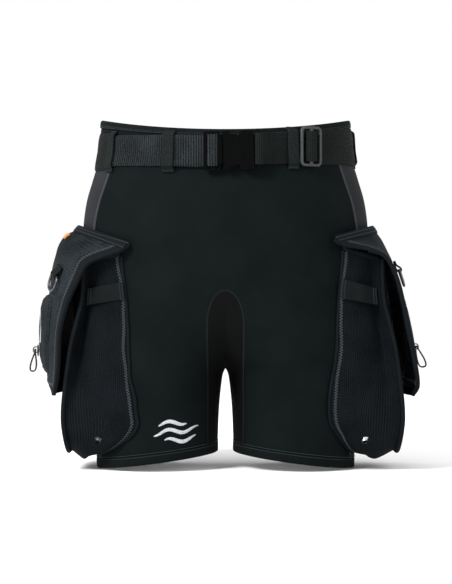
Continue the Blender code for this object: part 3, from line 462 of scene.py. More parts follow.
def panel_point(u, v, side, lift=0.0):
    """Point on the pocket's outer panel: u front to back, v bottom to top."""
    u, v = arrays(u, v)
    height = POCKET_BOTTOM + (POCKET_TOP - POCKET_BOTTOM) * v
    corner = np.clip(POCKET_CORNER - (height - POCKET_BOTTOM), 0, None)
    width = POCKET_INSET + np.sqrt(np.clip(POCKET_CORNER ** 2 - corner ** 2, 0, None))
    edge = piping_x(height, side)
    bulge = np.maximum(PANEL_BULGE, leg_x(0, height) + PANEL_TO_LEG - edge) * np.minimum(1, 4 * v)
    x = edge + bulge * (1 - u * u) + 1.0 + lift
    return stack(SIDES[side] * x, u * (width - 1.5), height)


def flap_face(u, v, side):
    """Point on the flap's middle surface: u front to back, v from the thigh to the free edge."""
    u, v = arrays(u, v)
    mid_x, mid_z = smooth_pair(FLAP_MID[side], v)
    edge_x, edge_z = smooth_pair(FLAP_EDGE[side], v)
    share = np.abs(u) ** 2.2
    y = u * smooth_value(FLAP_HALF_WIDTH[side], v)
    z = mid_z * (1 - share) + edge_z * share
    lead, amount = FLAP_TUCK[side]
    tuck = amount * smooth_value(TUCK_DOWN, v) * ease(np.clip(u + lead, 0, 1))
    x = np.maximum(mid_x * (1 - share) + edge_x * share - tuck, leg_x(y, z) + FLAP_TO_LEG)
    return stack(SIDES[side] * x, y, z)


def flap_normal(u, v, side):
    """Unit normals of the flap, pointing away from the leg."""
    step = 0.01
    u, v = arrays(u, v)
    along = flap_face(np.minimum(u + step, 1), v, side) - flap_face(np.maximum(u - step, -1), v, side)
    down = flap_face(u, np.minimum(v + step, 1), side) - flap_face(u, np.maximum(v - step, 0), side)
    return unit(np.cross(down, along) * SIDES[side])


def flap_point(u, v, side, lift=0.0):
    """Points a distance outside the flap's middle surface."""
    u, v, lift = arrays(u, v, lift)
    return flap_face(u, v, side) + lift[..., None] * flap_normal(u, v, side)


def flap_line(u, v, side, lift):
    """Points off the flap's middle surface and the flap's normals there."""
    return flap_point(u, v, side, lift), flap_normal(u, v, side)


def pouch_lift(u, v):
    """How far the zipped pouch's face stands off the flap's middle surface."""
    start, end = POUCH_SPAN
    rise = np.clip(np.minimum(v - start, end - v) / 0.08, 0, 1)
    swell = (1 - np.abs(u / POUCH_HALF_SPAN) ** 4) * np.sqrt(rise)
    return FLAP_THICKNESS / 2 + 1.6 + (POUCH_DEPTH - 1.6) * swell


def pouch_point(u, v, side, lift=0.0):
    """Points a distance outside the pouch's face."""
    return flap_point(u, v, side, pouch_lift(u, v) + lift)


def pouch_crease(u, v):
    """Creases of the pouch's cloth."""
    return 0.7 * np.sin(u * 14 + v * 20)


def creased_point(u, v, side, lift):
    """Points a distance outside the pouch's creased cloth."""
    return pouch_point(u, v, side, pouch_crease(u, v) + lift)


def span_grid(u_span, v_span, columns, rows):
    """u across and v down, between the ends of two spans, as a row and a column."""
    return np.linspace(*u_span, columns)[None], np.linspace(*v_span, rows)[:, None]


# ---------------------------------------------------------------- mesh building
def quads_of(index, corner):
    """Quads, and their corners' UVs, of a grid of vertex numbers."""
    faces, uvs = [np.stack([grid[:-1, :-1], grid[:-1, 1:], grid[1:, 1:], grid[1:, :-1]], 2)
                  for grid in (index, corner)]
    return faces.reshape(-1, 4), uvs.reshape(-1, 4, 2)


def grid_uv(points):
    """UVs in millimetres along a grid's columns and rows, measured across its first quarter."""
    rows, columns = points.shape[:2]
    across, up = lengths_along(points[rows // 4]), lengths_along(points[:, columns // 2])
    return np.stack(np.meshgrid(across, up), -1)


def sheet(outer, inner):
    """A cloth sheet between two grids of points: (points, faces, UVs)."""
    rows, columns = outer.shape[:2]
    index = np.arange(rows * columns).reshape(rows, columns)
    corner = grid_uv(outer)
    under = index + rows * columns
    pieces = [quads_of(index, corner), quads_of(under[:, ::-1], corner[:, ::-1])]
    for first, second, along in ((index[0], under[0], corner[0]), (under[-1], index[-1], corner[-1]),
                                 (under[:, 0], index[:, 0], corner[:, 0]),
                                 (index[:, -1], under[:, -1], corner[:, -1])):
        pieces.append(quads_of(np.stack([first, second]), np.stack([along] * 2)))
    points = np.concatenate([outer.reshape(-1, 3), inner.reshape(-1, 3)])
    faces, uvs = zip(*pieces)
    return points, np.concatenate(faces), np.concatenate(uvs)


def cloth(place, u, v, side, outer, inner):
    """A sheet between two lifts off a surface."""
    return sheet(place(u, v, side, outer), place(u, v, side, inner))


def tube(sections, closed=False):
    """A solid through (rings, ring points, 3) cross-sections: (points, faces, UVs), its ends capped."""
    rings, sides = sections.shape[:2]
    index = np.arange(rings * sides).reshape(rings, sides)
    index = np.concatenate([index, index[:, :1]], 1)
    along = lengths_along(sections[:, 0])
    if closed:
        index = np.concatenate([index, index[:1]], 0)
        along = np.append(along, along[-1] + np.linalg.norm(sections[-1, 0] - sections[0, 0]))
    middle = sections[rings // 2]
    around = lengths_along(np.concatenate([middle, middle[:1]]))
    corner = np.stack(np.meshgrid(around, along), -1)[..., ::-1]
    faces, uvs = quads_of(index, corner)
    last = (rings - 1) * sides
    caps = [] if closed else [list(range(sides)), [last + side for side in reversed(range(sides))]]
    return sections.reshape(-1, 3), list(map(list, faces)) + caps, uvs


def carry(centres, across, normals, section):
    """Cross-sections of (across, outwards) pairs set along a line."""
    section = np.asarray(section, float)
    return centres[:, None] + across[:, None] * section[..., :1] + normals[:, None] * section[..., 1:]


def sweep(centres, across, normals, section):
    """A solid with one cross-section carried along a line."""
    return tube(carry(centres, across, normals, section))


def flat_section(width, thick, crown=0.0, count=7):
    """Cross-section of a tape: a crowned top, rounded edges and a flat back."""
    half, foot = width / 2, 0.15 * thick
    lean = np.sin(np.linspace(-math.pi / 2, math.pi / 2, count))
    top = stack(half * lean, thick + crown * (1 - lean ** 2) - thick * 0.35 * np.abs(lean) ** 6)
    return [*top, (half, foot), (half * 0.94, 0), (-half * 0.94, 0), (-half, foot)]


def round_section(radius, sides=6, squash=1.0):
    """A round or flattened cross-section."""
    return squared_circle(sides, 1) * [radius, radius * squash]


def clean_mesh(mesh, axes=(), distance=WELD_DISTANCE):
    """Turn all faces outwards; first drop the walls across the axes' zero planes and weld there."""
    mesh_data = bmesh.new()
    mesh_data.from_mesh(mesh)
    if axes:
        walls = [face for face in mesh_data.faces
                 if any(all(abs(v.co[axis]) < WELD_DISTANCE for v in face.verts) for axis in axes)]
        bmesh.ops.delete(mesh_data, geom=walls, context="FACES")
        bmesh.ops.remove_doubles(mesh_data, verts=mesh_data.verts, dist=distance)
    bmesh.ops.recalc_face_normals(mesh_data, faces=mesh_data.faces)
    mesh_data.to_mesh(mesh)
    mesh_data.free()


def new_object(name, data):
    """An object in the scene."""
    made = bpy.data.objects.new(name, data)
    bpy.context.collection.objects.link(made)
    return made


def make_piece(name, parts, slot, body="shorts", nodes=(), finish=None, weld_axes=()):
    """A mesh object from (points, faces, UVs) parts that rides a body and stands for CAD nodes."""
    faces, uvs, first = [], [], 0
    for part_points, part_faces, part_uvs in parts:
        faces += [[int(corner) + first for corner in face] for face in part_faces]
        filler = sum(len(face) for face in part_faces[len(part_uvs):])
        uvs.append(np.concatenate([part_uvs.reshape(-1, 2), np.zeros((filler, 2))]))
        first += len(part_points)
    mesh = bpy.data.meshes.new(name)
    mesh.from_pydata(to_frame(np.concatenate([part[0] for part in parts])), [], faces)
    layer = mesh.uv_layers.new(name="cloth")
    layer.data.foreach_set("uv", (np.concatenate(uvs) * UV_PER_MM).astype(np.float32).ravel())
    clean_mesh(mesh, weld_axes)
    mesh.shade_smooth()
    mesh.set_sharp_from_angle(angle=math.radians(SHARP_ANGLE))
    mesh.materials.append(bpy.data.materials[finish or slot])
    piece = new_object(name, mesh)
    if body:
        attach(piece, body)
    if nodes:
        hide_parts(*nodes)
    return piece


def mirrored(part, sign):
    """The part, or its mirror image across x = 0."""
    points, faces, uvs = part
    return points * [sign, 1, 1], faces, uvs


def mirrored_all(parts, sign):
    """The parts, or their mirror images across x = 0."""
    return [mirrored(part, sign) for part in parts]


# ---------------------------------------------------------------- materials
class Finish:
    """A procedural material under construction."""

    def __init__(self, name, roughness, specular, metallic=0.0):
        self.material = bpy.data.materials.get(name) or bpy.data.materials.new(name)
        self.material.use_nodes = True
        self.tree = self.material.node_tree
        self.tree.nodes.clear()
        self.shader = self.add("BsdfPrincipled")
        self.tree.links.new(self.shader.outputs[0], self.add("OutputMaterial").inputs["Surface"])
        self.shader.inputs["Roughness"].default_value = roughness
        self.shader.inputs["Specular IOR Level"].default_value = specular
        self.shader.inputs["Metallic"].default_value = metallic
        self.uv = self.add("UVMap", uv_map="cloth").outputs["UV"]
        self.place = self.add("TexCoord").outputs["Object"]

    def add(self, kind, inputs=(), **settings):
        """A node with its inputs set or linked."""
        node = self.tree.nodes.new("ShaderNode" + kind)
        for key, value in settings.items():
            setattr(node, key, value)
        for key, value in dict(inputs).items():
            if isinstance(value, bpy.types.NodeSocket):
                self.tree.links.new(value, node.inputs[key])
            else:
                node.inputs[key].default_value = value
        return node

    def noise(self, size, detail=2.0):
        """Noise whose features are size metres across."""
        node = self.add("TexNoise", {"Vector": self.place, "Scale": 1 / size, "Detail": detail})
        return node.outputs["Fac"]

    def ribs(self, pitch, direction, distortion):
        """Parallel ribs, pitch millimetres apart: X ribs follow each other along the piece."""
        node = self.add("TexWave", {"Vector": self.uv, "Scale": SCALE_OF_1_MM / pitch,
                                    "Distortion": distortion, "Detail": 1.0, "Detail Scale": 1.5},
                        wave_type="BANDS", bands_direction=direction, wave_profile="SIN")
        return node.outputs["Fac"]

    def plus(self, first, second):
        """The sum of two values."""
        return self.add("Math", {0: first, 1: second}, operation="ADD").outputs[0]

    def times(self, first, second):
        """The product of two values."""
        return self.add("Math", {0: first, 1: second}, operation="MULTIPLY").outputs[0]

    def spread(self, value, low, high, start=0.3, end=0.7):
        """A value mapped from one range to another."""
        node = self.add("MapRange", {"Value": value, "From Min": start, "From Max": end,
                                     "To Min": low, "To Max": high})
        return node.outputs["Result"]

    def colours(self, factor, first, second):
        """A blend of two colours set by factor."""
        node = self.add("Mix", {0: factor, 6: (*first, 1), 7: (*second, 1)}, data_type="RGBA")
        return node.outputs[2]

    def finish(self, colour, roughness=None, height=None, relief=0.0002):
        """Link colour, roughness and relief (metres) to the shader."""
        self.tree.links.new(colour, self.shader.inputs["Base Color"])
        if roughness is not None:
            self.tree.links.new(roughness, self.shader.inputs["Roughness"])
        if height is not None:
            bump = self.add("Bump", {"Height": height, "Distance": relief, "Strength": 1.0})
            self.tree.links.new(bump.outputs["Normal"], self.shader.inputs["Normal"])


def knit_material(name, dark, light, pitch=1.1, relief=0.00012, specular=0.16, contrast=0.2, painted_height_shade=0.0):
    """Nylon jersey laminated on neoprene: fine knit columns and cloudy shade; the last argument adds
    painted shade, darker towards the top and lighter towards the bottom.
    """
    made = Finish(name, 0.8, specular)
    knit = made.times(made.ribs(pitch, "X", 1.5), made.ribs(pitch * 1.5, "Y", 1.0))
    clouds = made.noise(0.045, 3.0)
    grain = made.noise(0.0016)
    shade = made.plus(made.spread(clouds, -0.15, 0.5), made.spread(grain, -0.1, 0.55))
    shade = made.plus(shade, made.times(made.plus(knit, -0.25), contrast))
    # Painted shade: the colour is darkened towards the top, between frame heights -0.34 and -0.14 m, and
    # lightened below that.
    if painted_height_shade:
        level = made.add("SeparateXYZ", {0: made.place}).outputs["Z"]
        shade = made.plus(shade, made.spread(level, painted_height_shade, -painted_height_shade, -0.34, -0.14))
    height = made.plus(knit, made.times(grain, 0.8))
    made.finish(made.colours(shade, dark, light), made.spread(grain, 0.72, 0.88, 0, 1), height, relief)


def rib_material(name, dark, light, pitch, direction, relief, cross=1.1, specular=0.16, contrast=0.6,
                 cross_share=0.45):
    """Woven or knitted ribs with a finer thread across them; the colour is darker between the ribs, partly
    the weave's own tone and, where the dark colour is near black, painted shade of the grooves.
    """
    made = Finish(name, 0.75, specular)
    ribs = made.ribs(pitch, direction, 0.4)
    threads = made.ribs(cross, "Y" if direction == "X" else "X", 0.8)
    grain = made.noise(0.0014)
    weave = made.plus(ribs, made.times(threads, cross_share))
    # The colour follows the ribs, darker between them: the weave's tone, and with a near-black dark colour
    # also painted groove shade.
    shade = made.times(weave, made.spread(made.noise(0.03), 0.5, 1.0))
    shade = made.plus(made.times(shade, contrast), made.spread(grain, -0.25, 0.4))
    made.finish(made.colours(shade, dark, light), made.spread(grain, 0.65, 0.85, 0, 1),
                made.plus(weave, made.times(grain, 0.3)), relief)


def plastic_material(name, dark, light, roughness, specular):
    """Moulded acetal: fine spark grain, faint flow marks and scuffs."""
    made = Finish(name, roughness, specular)
    grain = made.noise(0.0005, 3.0)
    scuffs = made.spread(made.noise(0.004, 6.0), 0.0, 1.0, 0.58, 0.75)
    shade = made.plus(made.spread(made.noise(0.018), 0.1, 0.6), made.times(scuffs, 0.4))
    rough = made.spread(grain, roughness - 0.06, roughness + 0.08, 0, 1)
    rough = made.plus(rough, made.times(scuffs, 0.15))
    made.finish(made.colours(shade, dark, light), rough, grain, 0.000012)


def metal_material(name, dark, light, roughness):
    """Plated metal with a fine brushed grain and duller patches."""
    made = Finish(name, roughness, 0.5, metallic=1.0)
    patches = made.noise(0.003, 4.0)
    made.finish(made.colours(made.spread(patches, 0, 1, 0.35, 0.65), dark, light),
                made.spread(patches, roughness - 0.06, roughness + 0.14), made.noise(0.0004), 0.00002)


def pile_material(name, dark, light):
    """Hook-and-loop pile."""
    made = Finish(name, 0.9, 0.1)
    pile = made.noise(0.0008, 4.0)
    made.finish(made.colours(pile, dark, light), None, pile, 0.0008)


def reflective_material(name, dark, light):
    """Retro-reflective tape: a bright film with a fine cell pattern."""
    made = Finish(name, 0.35, 0.5, metallic=0.4)
    cells = made.add("TexVoronoi", {"Vector": made.place, "Scale": 900.0}, feature="F1").outputs["Distance"]
    made.finish(made.colours(made.spread(cells, 0, 1, 0.1, 0.6), light, dark), None, cells, 0.00005)


def make_materials():
    """The materials of the record's slots, the finishes that vary them, and the sewing threads."""
    knit_material("neoprene", (0.0012, 0.0025, 0.0026), (0.0029, 0.0047, 0.0047), specular=0.05)
    knit_material("gusset_neoprene", (0.0017, 0.0019, 0.0019), (0.0032, 0.0034, 0.0034), specular=0.04)
    knit_material("neoprene_side", (0.0098, 0.0106, 0.0126), (0.0168, 0.0180, 0.0208), specular=0.08)
    rib_material("binding", (0.0017, 0.0026, 0.0033), (0.0054, 0.0072, 0.0086), 1.3, "X", 0.0001,
                 specular=0.05)
    # The webbing's colour drops to black between its ribs: partly the weave's tone, partly painted shade of
    # the rib grooves.
    rib_material("webbing", (0.0, 0.0, 0.0), (0.0195, 0.0246, 0.0272), RIB_PITCH, "X", 0.0008, 1.6,
                 specular=0.07, contrast=1.0, cross_share=0.12)
    rib_material("webbing_fine", (0.0004, 0.0010, 0.0009), (0.0066, 0.0086, 0.0081), 2.2, "X", 0.0004, 2.6,
                 specular=0.07, contrast=0.9)
    rib_material("loop_webbing", (0.0016, 0.0024, 0.0024), (0.0125, 0.0155, 0.0155), 1.6, "Y", 0.0003, 2.2,
                 specular=0.07)
    rib_material("rim_cloth", (0.0018, 0.0026, 0.0029), (0.0054, 0.0068, 0.0074), 1.2, "X", 0.0001,
                 specular=0.04)
    rib_material("strap_cloth", (0.0022, 0.0034, 0.0034), (0.0064, 0.0082, 0.0082), 1.2, "Y", 0.0002, 1.4,
                 specular=0.05)
    plastic_material("plastic", (0.0003, 0.0004, 0.0004), (0.0009, 0.0010, 0.0010), 0.20, 0.05)
    plastic_material("triglide_plastic", (0.0160, 0.0176, 0.0176), (0.0288, 0.0312, 0.0312), 0.42, 0.3)
    rib_material("pocket_cloth", (0.0002, 0.0006, 0.0010), (0.0050, 0.0070, 0.0088), 2.7, "X", 0.0005, 1.6,
                 specular=0.05, contrast=0.8)
    # The flap and pouch cloth carries painted shade: darker towards the flap's top, lighter towards its
    # free edge.
    knit_material("flap_cloth", (0.0026, 0.0039, 0.0049), (0.0185, 0.0236, 0.0272), pitch=2.4,
                  relief=0.0004, specular=0.05, contrast=0.4, painted_height_shade=0.14)
    rib_material("zip_tape", (0.0013, 0.0013, 0.0016), (0.0048, 0.0048, 0.0051), 1.0, "X", 0.0002,
                 specular=0.08)
    reflective_material("reflective", (0.30, 0.31, 0.33), (0.62, 0.63, 0.65))
    metal_material("steel", (0.42, 0.43, 0.44), (0.66, 0.67, 0.68), 0.28)
    rib_material("cord", (0.006, 0.006, 0.0065), (0.024, 0.024, 0.026), 1.2, "X", 0.0003)
    pile_material("hook_and_loop", (0.003, 0.003, 0.0035), (0.012, 0.012, 0.0125))
    rib_material("orange_tape", (0.42, 0.15, 0.04), (0.70, 0.30, 0.10), 0.9, "X", 0.00015)
    metal_material("dark_steel", (0.03, 0.03, 0.032), (0.09, 0.09, 0.095), 0.35)
    metal_material("ring_steel", (0.05, 0.05, 0.053), (0.13, 0.13, 0.14), 0.42)
    for name, dark, light in (("thread_dark", (0.006, 0.0075, 0.008), (0.013, 0.015, 0.016)),
                              ("thread_grey", (0.025, 0.030, 0.034), (0.046, 0.053, 0.059)),
                              ("thread_seam", (0.015, 0.017, 0.019), (0.026, 0.028, 0.031)),
                              ("thread_light", (0.032, 0.035, 0.039), (0.054, 0.058, 0.063))):
        thread = Finish(name, 0.7, 0.1)
        thread.finish(thread.colours(thread.noise(0.002), dark, light))


# ---------------------------------------------------------------- stitching
def frames_of(points, normals):
    """Directions across a line that lies on a surface with these normals."""
    ahead = unit(np.gradient(points, axis=0))
    across = unit(np.cross(ahead, normals))
    return across, unit(np.cross(across, ahead))


def stitch_run(points, normals, pitch=3.2, share=0.72, radius=THREAD, lift=0.25):
    """A row of straight stitches along a line: each dips into the cloth at its two ends."""
    points, normals = even_line(points, normals, pitch / 4)
    rings, parts = 5, []
    along = lengths_along(points)
    rise = np.sin(np.linspace(0, math.pi, rings))[:, None]
    for start in np.arange(0, along[-1] - pitch, pitch):
        at = np.linspace(start, start + pitch * share, rings)
        out = unit(follow(at, along, normals))
        centre = follow(at, along, points) + out * (rise * lift - radius * (1 - rise))
        parts.append(sweep(centre, *frames_of(centre, out), round_section(radius, 5)))
    return parts


def zigzag(points, normals, width=3.6, pitch=3.4, radius=THREAD, lift=0.15):
    """A zigzag stitch centred on a line, as one thread."""
    points, normals = even_line(points, normals, pitch / 2)
    across, normals = frames_of(points, normals)
    swing = np.where(np.arange(len(points)) % 2 == 0, 1.0, -1.0)[:, None] * width / 2
    fine, out = even_line(points + across * swing + normals * lift, normals, pitch / 2.5)
    return [sweep(fine, *frames_of(fine, out), round_section(radius, 5))]


def cover_seam(points, normals, width=3.4, lift=0.2, pitch=2.2):
    """The low tape of a flatlock seam."""
    points, normals = even_line(points, normals, pitch)
    across, normals = frames_of(points, normals)
    return [sweep(points + normals * lift, across, normals, flat_section(width, 0.5, 0.15))]


# ---------------------------------------------------------------- garment
def softness(angle, height):
    """Slight unevenness of the worn neoprene."""
    turn = np.radians(angle)
    return (0.5 * np.sin(height / 31 + 2 * turn) * np.sin(3 * turn + height / 57)
            + 0.25 * np.sin(height / 13 - 4 * turn))


def edged(count, rim):
    """Shares from 0 to 1 with extra ones near both ends, where cloth rounds off."""
    near = rim * np.array([0, 0.12, 0.35, 0.65, 1.0])
    return np.concatenate([near, np.linspace(rim, 1 - rim, count)[1:-1], 1 - near[::-1]])


def edge_drop(share, rim, depth):
    """How far the cloth's face sinks near the ends of a share from 0 to 1."""
    near = np.clip(np.minimum(share, 1 - share) / rim, 0, 1)
    return depth * (1 - np.sqrt(1 - (1 - near) ** 2))


def panel_heights():
    """Rows of the big panels, closer together round the top of the arch."""
    arch = ARCH_TOP - ARCH_RADIUS + ARCH_RADIUS * np.sin(np.radians(np.linspace(10, 89, 14)))
    low = np.linspace(HEM_HEIGHT + 0.4, arch[0], 40)[:-1]
    high = np.linspace(ARCH_TOP + 0.05, BAND_BOTTOM - 0.3, 40)
    return np.concatenate([low, arch, high])


def half_panel(heights, shares, start, end, rim, sign, middle=False):
    """Outer and inner faces of a panel between two angles given for each height."""
    height = heights[:, None]
    angle = start[:, None] + (end - start)[:, None] * shares[None]
    drop = edge_drop(shares, rim, 0.7)[None]
    if middle:
        seam = np.clip((ARCH_TOP - heights) / 0.5, 0, 1)[:, None]
        drop = np.where(shares[None] > 0.5, drop * seam, drop)
    ends = np.minimum(height - heights[0], heights[-1] - height)
    drop = drop + 0.5 * np.exp(-ends / 0.8)
    outer = shell_point(sign * angle, height, softness(sign * angle, height) - drop)
    inner = shell_point(sign * angle, height, -SHELL_THICKNESS)
    if middle:
        for face in (outer, inner):
            face[np.abs(outer[..., 0]) < 0.02, 0] = 0
    return outer, inner


def make_front_and_back():
    """Front and back panels, joined across the centre line above the arch."""
    heights = panel_heights()
    start = seam_angle(heights) + 0.15
    end = np.where(heights > ARCH_TOP, inner_angle(heights), inner_angle(heights, 0.3))
    for name, sign in (("front", -1), ("back", 1)):
        half = sheet(*half_panel(heights, edged(30, 0.012), start, end, 0.012, sign, middle=True))
        make_piece("shorts_" + name, [half, mirrored(half, -1)], "neoprene", nodes=[name + "_panel"],
                   weld_axes=(0,))


def make_side_panels():
    """The charcoal panel down the outside of each leg, and the flatlock seams beside it."""
    heights = panel_heights()
    for side, sign in SIDES.items():
        faces = half_panel(heights, edged(14, 0.02), -seam_angle(heights), seam_angle(heights), 0.02, 1)
        make_piece("side_" + side, [mirrored(sheet(*faces), sign)], "neoprene_side",
                   nodes=["side_panel_" + side])
        parts, threads = [], []
        for edge in (-1, 1):
            line, normals = shell_line(edge * (seam_angle(heights) + 0.1), heights, -0.3)
            parts += cover_seam(line, normals, 4.4)
            threads += zigzag(line, normals, 3.4, 2.6, 0.3, 1.05)
        make_piece("side_seams_" + side, mirrored_all(parts, sign), "thread_seam")
        make_piece("side_seam_threads_" + side, mirrored_all(threads, sign), "thread_light")


def make_gusset():
    """Inner-thigh gusset: the legs' inner faces, joined under the crotch and up to the arch."""
    heights = panel_heights()
    heights = heights[heights < ARCH_TOP]
    meet = np.interp(0, -smooth_value(LEG_INNER, heights), heights)
    heights = np.sort(np.append(heights, meet))
    joined = heights > meet + 0.01
    start, end = inner_angle(heights, -0.3), np.where(joined, -angle_at(0, heights), 180.0)
    shares = np.linspace(0, 1, 22)
    parts = []
    for sign in (-1, 1):
        angle = sign * (start[:, None] + (end - start)[:, None] * shares[None])
        faces = [shell_point(angle, heights[:, None], -drop)
                 for drop in (0.6 * np.exp(-shares * 60)[None], SHELL_THICKNESS)]
        for face in faces:
            face[heights > meet - 0.01, -1, 0] = 0
            face[~joined, -1, 1] = 0
        parts += [sheet(*faces), mirrored(sheet(*faces), -1)]
    piece = make_piece("thigh_gusset", parts, "neoprene", nodes=["inner_thigh_gusset"],
                       finish="gusset_neoprene")
    clean_mesh(piece.data, (0, 1), 1.5 * WELD_DISTANCE)


def arch_line():
    """Points and normals of the arch's seam from its foot to its top, front and back."""
    heights = panel_heights()
    heights = heights[heights < ARCH_TOP]
    return [shell_line(sign * inner_angle(heights), heights) for sign in (-1, 1)]


def make_arch_seams():
    """Covered seam round the arch, front and back, with its close cross threads."""
    parts, threads = [], []
    for pair in arch_line():
        line, normals = [np.concatenate([half, (half * [-1, 1, 1])[::-1]]) for half in pair]
        parts += cover_seam(line, normals, 3.0, -0.35)
        threads += zigzag(line, normals, 2.8, 2.6, 0.28, 0.35)
    make_piece("arch_seams", parts, "neoprene")
    make_piece("arch_seam_threads", threads, "thread_dark")


def ring(profile, count=180, sign=1):
    """A band round a leg or the waist from (offset, height) pairs."""
    profile = np.asarray(profile, float)
    angles = np.linspace(0, 360, count, endpoint=False)[:, None]
    return mirrored(tube(shell_point(angles, profile[:, 1], profile[:, 0]), closed=True), sign)


def band_profile(low, high, outer, inner, round_off, bulge, steps=6):
    """Profile of a band: straight or bulging face, rounded edges, flat back."""
    heights = np.linspace(low + round_off, high - round_off, steps)
    middle, reach = (low + high) / 2, (high - low) / 2
    face = [(outer + bulge * (1 - ((h - middle) / reach) ** 2), h) for h in heights]
    corner, shoulder, rise = 0.45 * round_off, outer - 0.15 * round_off, 0.4 * round_off
    return [(inner + corner, low), (outer - corner, low), (shoulder, low + rise), *face,
            (shoulder, high - rise), (outer - corner, high), (inner + corner, high),
            (inner, high - round_off), (inner, low + round_off)]


def make_waist():
    """Waistband, the binding round its rim, and the binding's stitches."""
    profile = band_profile(BAND_BOTTOM, BAND_TOP - 0.3, 0.1, -SHELL_THICKNESS, 1.2, 0.6)
    make_piece("waistband_cloth", [ring(profile)], "neoprene", nodes=["waistband"])
    make_piece("rim_binding", [ring(RIM_PROFILE)], "binding", nodes=["waist_binding"], finish="rim_cloth")
    angles = np.linspace(0, 360, 240)
    parts = []
    for height in (423.6, 425.4):
        parts += stitch_run(*shell_line(angles, height, 1.05), 2.6, 0.6, 0.3)
    make_piece("rim_stitches", parts, "thread_grey")
    line, normals = shell_point(angles, BAND_BOTTOM - 0.3, -0.2), shell_normal(angles, BAND_BOTTOM)
    make_piece("waist_seam", cover_seam(line, normals, 2.6, -0.1), "binding")


def make_hems():
    """Turned hems with their double row of stitches."""
    angles = np.linspace(0, 360, 200)
    for side, sign in SIDES.items():
        make_piece("hem_cloth_" + side, [ring(HEM_PROFILE, 150, sign)], "neoprene", nodes=["hem_" + side])
        parts = []
        for height in (10.4, 13.6):
            lift = 0.35 + softness(angles, height) * (height > HEM_HEIGHT)
            parts += stitch_run(*shell_line(angles, height, lift), 3.0, 0.68, 0.28)
        make_piece("hem_stitches_" + side, mirrored_all(parts, sign), "thread_grey")


def make_waves():
    """A plain mark of three stacked waves, printed low on the wearer's right leg."""
    parts = []
    for height, reach, offset in ((49, 17, 4), (38, 27, 0), (26, 19, -5)):
        x = np.linspace(-reach, reach, 60) + WAVE_X + offset
        z = height + 3.2 * np.sin((x - WAVE_X) / 5.6)
        angle = angle_at(x, z)
        line, normals = shell_line(angle, z, softness(angle, z) + 0.02)
        width = 2.1 * np.sin(np.linspace(0, math.pi, 60)) ** 0.5 + 0.15
        section = np.array([(-1, 0), (-1, 0.12), (-0.9, 0.2), (0.9, 0.2), (1, 0.12), (1, 0)])
        sections = stack(section[:, 0] * width[:, None], section[:, 1])
        parts.append(mirrored(tube(carry(line, *frames_of(line, normals), sections)), -1))
    make_piece("wave_mark", parts, "reflective")


# ---------------------------------------------------------------- belt
def webbing_tube(place, centre, rise, wave, width=WEBBING_WIDTH, thick=WEBBING_THICKNESS, soft=0.0):
    """A webbing solid with soft edges: place maps depth over its back face and height to points."""
    across = np.array([-1, -0.97, -0.9, -0.6, -0.3, 0, 0.3, 0.6, 0.9, 0.97, 1.0]) * width / 2
    edge = np.array([0.35, 0.12, 0, 0, 0, 0, 0, 0, 0, 0.12, 0.35]) * thick
    thinned = np.array([0.35, 0.6, 0.48, 0.12, 0, 0, 0, 0.12, 0.48, 0.6, 0.35]) * soft / 3 * thick
    swell = np.array([0.2, 0.6, 1, 1, 1, 1, 1, 1, 1, 0.6, 0.2])
    face = thick + rise[:, None] * swell - edge - thinned
    back = np.zeros_like(face) + edge
    heights = centre[:, None] + across + wave[:, None]
    depth = np.concatenate([face, back[:, ::-1]], 1)
    height = np.concatenate([heights, heights[:, ::-1]], 1)
    return tube(place(depth, height))


def rib_rise(along, ribs):
    """Height of the ribs, and the slight waver of the webbing's edge, at distances along it."""
    if not ribs:
        return 0 * along, 0.15 * np.sin(along / 17)
    return RIB_HEIGHT * np.sqrt(np.abs(np.sin(along / RIB_PITCH * math.pi))), 0.25 * np.sin(along / 9)


def waist_webbing(start, end, ribs, offset=BELT_OFFSET, **size):
    """Webbing lying on the waistband between two angles."""
    angle = np.linspace(start, end, 400)
    along = lengths_along(belt_point(angle, offset, belt_centre(angle)))
    at = np.linspace(0, along[-1], int(along[-1] / (RIB_PITCH / 8 if ribs else 3.0)))
    angle = np.interp(at, along, angle)
    rise, wave = rib_rise(at, ribs)
    return webbing_tube(lambda depth, z: belt_point(angle[:, None], offset + depth, z),
                        belt_centre(angle), rise, wave, **size)


def routed_webbing(route, ribs, place, **size):
    """Webbing whose middle follows a list of (along, depth) points."""
    line, out = routed_line(route, RIB_PITCH / 8 if ribs else 0.7)
    thick = size.get("thick", WEBBING_THICKNESS)
    rise, wave = rib_rise(lengths_along(line), ribs)

    def on_line(depth, height):
        spot = line[:, None] + out[:, None] * (depth - thick / 2)[..., None]
        return place(spot[..., 0], spot[..., 2], height)
    return webbing_tube(on_line, 0 * rise, rise, wave, **size)


def make_webbing():
    """Every run of webbing, and the two sleeves over it that end at the side loops."""
    make_piece("webbing_front", [waist_webbing(waist_angle(-58), -154, True)], "webbing",
               nodes=["belt_webbing_front"])
    runs = [waist_webbing(waist_angle(90) + 0.5, -43, False), waist_webbing(5, 168, False)]
    make_piece("webbing_back", runs, "webbing_fine", nodes=["belt_webbing_back"])
    for name, start, end in (("left", -44.6, 7), ("right", 166, 206.5)):
        sleeve = waist_webbing(start, end, False, offset=0.3, width=WEBBING_WIDTH + 8, thick=3.1, soft=3.0)
        make_piece("webbing_sleeve_" + name, [sleeve], "neoprene", finish="webbing_fine")
    make_piece("webbing_buckle_end", [routed_webbing(BUCKLE_ROUTE, True, arc_place)], "webbing",
               "buckle_plug", ["buckle_webbing"])
    make_piece("webbing_adjust", [routed_webbing(ADJUST_ROUTE, False, arc_place)], "webbing_fine",
               nodes=["belt_webbing_adjust"])
    route = [(x, TRIGLIDE_STANDOFF + depth) for x, depth in BAR_ROUTE]
    make_piece("webbing_over_bar", [routed_webbing(route, False, triglide_place, width=36.5, thick=1.7)],
               "webbing_fine", "triglide", ["triglide_webbing"])


